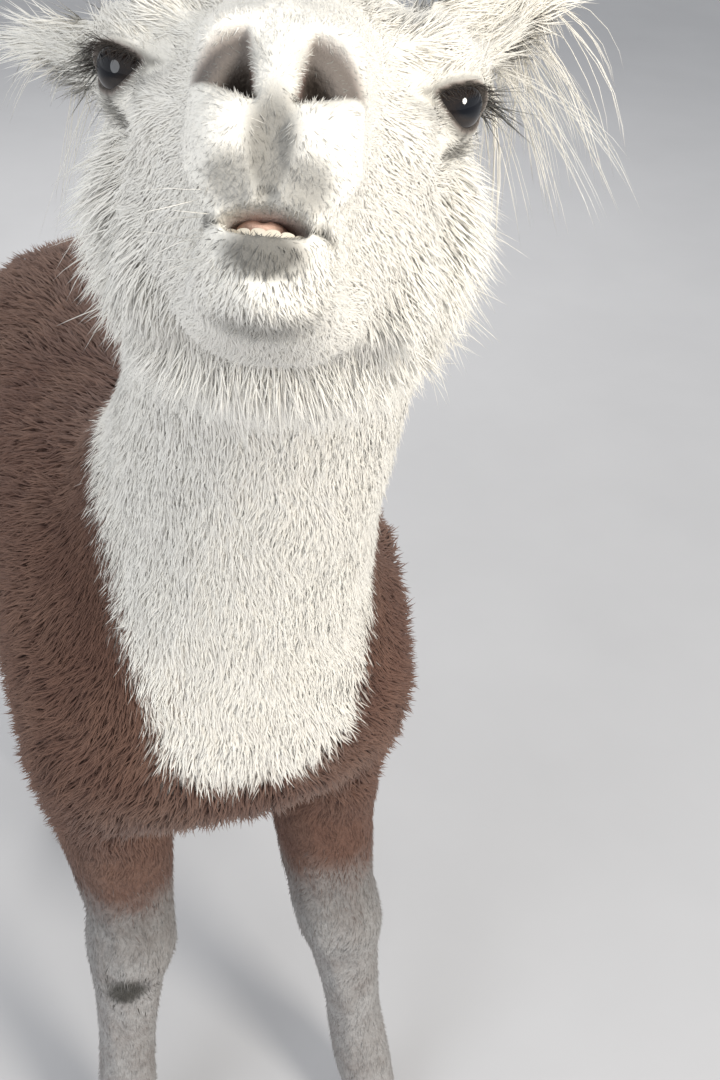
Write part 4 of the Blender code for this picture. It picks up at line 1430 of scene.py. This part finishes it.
def inHeadFrame(thing):
    makeActive(thing)
    bpy.context.view_layer.update()
    thing.matrix_world = (Matrix.Translation(Vector(headPlace)) @ Matrix(headTurn.tolist()).to_4x4()
                          @ thing.matrix_world)
    bpy.ops.object.transform_apply()


def enamelFinish():
    finish, shader, start, place = newFinish("enamel", Coat_Weight=0.4, Coat_Roughness=0.12)
    stain = (place.noise(260.0, 4.0) * 1.4 - 0.35).clipped()
    feed(start, shader, Base_Color=stain.mix(*teethPlan["colours"]), Roughness=0.25 + stain * 0.25)
    return finish


def oneTooth():
    wide, thick, tall = teethPlan["size"]
    deselect()
    bpy.ops.mesh.primitive_cube_add(size=1)
    tooth = bpy.context.object
    tooth.scale = (thick, wide, tall)
    bpy.ops.object.transform_apply()
    editAll(tooth)
    bpy.ops.mesh.subdivide(number_cuts=3)
    bpy.ops.object.mode_set(mode="OBJECT")
    points = pointsOf(tooth)
    height = ease(points[:, 2], -tall / 2, tall / 2)
    points[:, 0] = points[:, 0] * (1.15 - 0.70 * height**2) + 0.0006 * height  # a chisel edge
    points[:, 1] *= 0.86 + 0.14 * np.sin(height * 2.2)
    points[:, 2] -= (points[:, 1] / wide * 2) ** 2 * 0.0008 * height
    movePoints(tooth, points)
    applyModifier(tooth, "SUBSURF", levels=2, render_levels=2)
    return tooth


def buildTeeth():
    # six teeth on an arc of the lower jaw, each tilted a little its own way
    tooth = oneTooth()
    reach, level = teethPlan["reach"], teethPlan["top"] - teethPlan["size"][2] / 2
    own, back = (math.radians(angle) for angle in teethPlan["tilt"])
    row = []
    for k in range(teethPlan["number"]):
        angle = math.radians(teethPlan["arc"]) * (k / (teethPlan["number"] - 1) - 0.5)
        copy = copied(tooth)
        copy.location = (teethPlan["middle"] + reach * math.cos(angle), reach * math.sin(angle),
                         level - 0.0010 * abs(angle))
        copy.rotation_euler = (own * math.sin(k * 2.4), back, angle)
        row.append(copy)
    bpy.data.objects.remove(tooth)
    teeth = joined(row)
    teeth.name = teeth.data.name = "lower_teeth"
    bpy.ops.object.transform_apply()
    inHeadFrame(teeth)
    bpy.ops.object.shade_smooth()
    teeth.data.materials.append(enamelFinish())
    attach(teeth, "root")
    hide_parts("incisors")


def tongueFinish():
    finish, shader, start, place = newFinish("tongueFlesh", Coat_Weight=0.12, Coat_Roughness=0.3)
    grain = place.noise(1400.0, 3.0)
    feed(start, shader, Base_Color=grain.mix(*tonguePlan["colours"]), Roughness=0.42 + grain * 0.3,
         Normal=bumped(start, grain, 0.6, 0.0004))
    return finish


def buildTongue():
    deselect()
    bpy.ops.mesh.primitive_uv_sphere_add(segments=40, ring_count=24, radius=1)
    tongue = bpy.context.object
    tongue.name = tongue.data.name = "tongue"
    points = pointsOf(tongue)
    groove = np.exp(-((points[:, 1] / tonguePlan["grooveWidth"]) ** 2))
    points[:, 2] -= tonguePlan["groove"] * groove * ease(points[:, 2], 0, 0.6)
    points[:, 2] += 0.10 * points[:, 0] + 0.05 * wobble(points, 0.9, 8)
    movePoints(tongue, points)
    tongue.location, tongue.scale = tonguePlan["place"], tonguePlan["halves"]
    inHeadFrame(tongue)
    bpy.ops.object.shade_smooth()
    tongue.data.materials.append(tongueFinish())
    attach(tongue, "root")


nailPlan = {
    "colours": ((0.030, 0.024, 0.020), (0.115, 0.090, 0.072)),
    "bands": 9.0,  # how much flatter than wide its growth rings are
}


def hornFinish():
    finish, shader, start, place = newFinish("nailHorn", Coat_Weight=0.15, Coat_Roughness=0.35)
    rings = place.node("Mapping", {}, {"Vector": place, "Scale": (1.0, 1.0, nailPlan["bands"])})
    rings = rings.noise(60.0, 4.0)
    fine = place.noise(900.0, 3.0)
    banded = (rings * 1.3 - 0.15).clipped().mix(*nailPlan["colours"])
    feed(start, shader, Base_Color=banded, Roughness=0.38 + fine * 0.25,
         Normal=bumped(start, rings + fine * 0.4, 0.5, 0.0008))
    return finish


def finishNails():
    finish = hornFinish()
    for name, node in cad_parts.items():
        if name.startswith("nail"):
            node.data.materials.clear()
            node.data.materials.append(finish)


cameraPlan = {
    "place": (-0.183, -0.869, 1.596),  # from under the withers
    "turn": 0.361,  # to the right of straight ahead, radians
    "down": 0.644,
    "tilt": 0.041,
    "lens": 41.97,
}


def buildCamera():
    turn, down, tilt = cameraPlan["turn"], cameraPlan["down"], cameraPlan["tilt"]
    ahead = vectorOf(math.sin(turn) * math.cos(down), math.cos(turn) * math.cos(down), -math.sin(down))
    right = vectorOf(math.cos(turn), -math.sin(turn), 0)
    up = np.cross(right, ahead)
    right, up = right * math.cos(tilt) + up * math.sin(tilt), up * math.cos(tilt) - right * math.sin(tilt)
    data = bpy.data.cameras.new("camera")
    data.lens = cameraPlan["lens"]
    data.sensor_width = 36
    camera = newThing("camera", data)
    matrix = Matrix(np.column_stack((right, up, -ahead)).tolist()).to_4x4()
    matrix.translation = Vector(vectorOf(*cameraPlan["place"]) + bodyPlace)
    camera.matrix_world = matrix
    data.clip_start, data.clip_end = 0.02, 60
    bpy.context.scene.camera = camera


def areaLight(name, place, target, size, power, colour):
    data = bpy.data.lights.new(name, "AREA")
    data.shape = "DISK"
    data.size, data.energy, data.color = size, power, colour
    light = newThing(name, data)
    light.location = place
    light.rotation_euler = (Vector(target) - Vector(place)).to_track_quat("-Z", "Y").to_euler()


stagePlan = {
    "floorSize": 30,
    "floor": ((0.50, 0.50, 0.51), (0.56, 0.56, 0.57)),
    "air": (0.95, 0.97, 1.0),
    "airStrength": 0.62,
    "lights": {  # place, what it shines at, width, power, colour
        "key": ((1.5, -3.1, 2.5), (0, -0.3, 1.0), 1.1, 112, (1.0, 0.95, 0.87)),
        "fill": ((-2.8, -1.9, 2.2), (0, -0.2, 0.9), 2.4, 50, (0.93, 0.96, 1.0)),
        "rim": ((0.6, 3.2, 2.8), (0, 0.1, 0.9), 2.0, 55, (1.0, 0.98, 0.95)),
    },
}


def floorFinish():
    finish, shader, start, place = newFinish("paleFloor", Roughness=0.7, Specular_IOR_Level=0.3)
    feed(start, shader, Base_Color=place.noise(3.0, 4.0).mix(*stagePlan["floor"]))
    return finish


def buildStage():
    deselect()
    bpy.ops.mesh.primitive_plane_add(size=stagePlan["floorSize"], location=(0, 0, 0))
    floor = bpy.context.object
    floor.name = "floor"
    floor.data.materials.append(floorFinish())
    world = bpy.data.worlds.new("studio")
    bpy.context.scene.world = world
    world.use_nodes = True
    air = world.node_tree.nodes["Background"].inputs
    air["Color"].default_value = (*stagePlan["air"], 1)
    air["Strength"].default_value = stagePlan["airStrength"]
    for name, settings in stagePlan["lights"].items():
        areaLight(name, *settings)
    bpy.context.scene.view_settings.view_transform = "Standard"


buildCoat(buildSkin())
print("coat: done")
buildEyes()
print("eyes: done")
buildTeeth()
buildTongue()
print("mouth: done")
finishNails()
print("nails: done")
buildStage()
buildCamera()
print("stage: done")
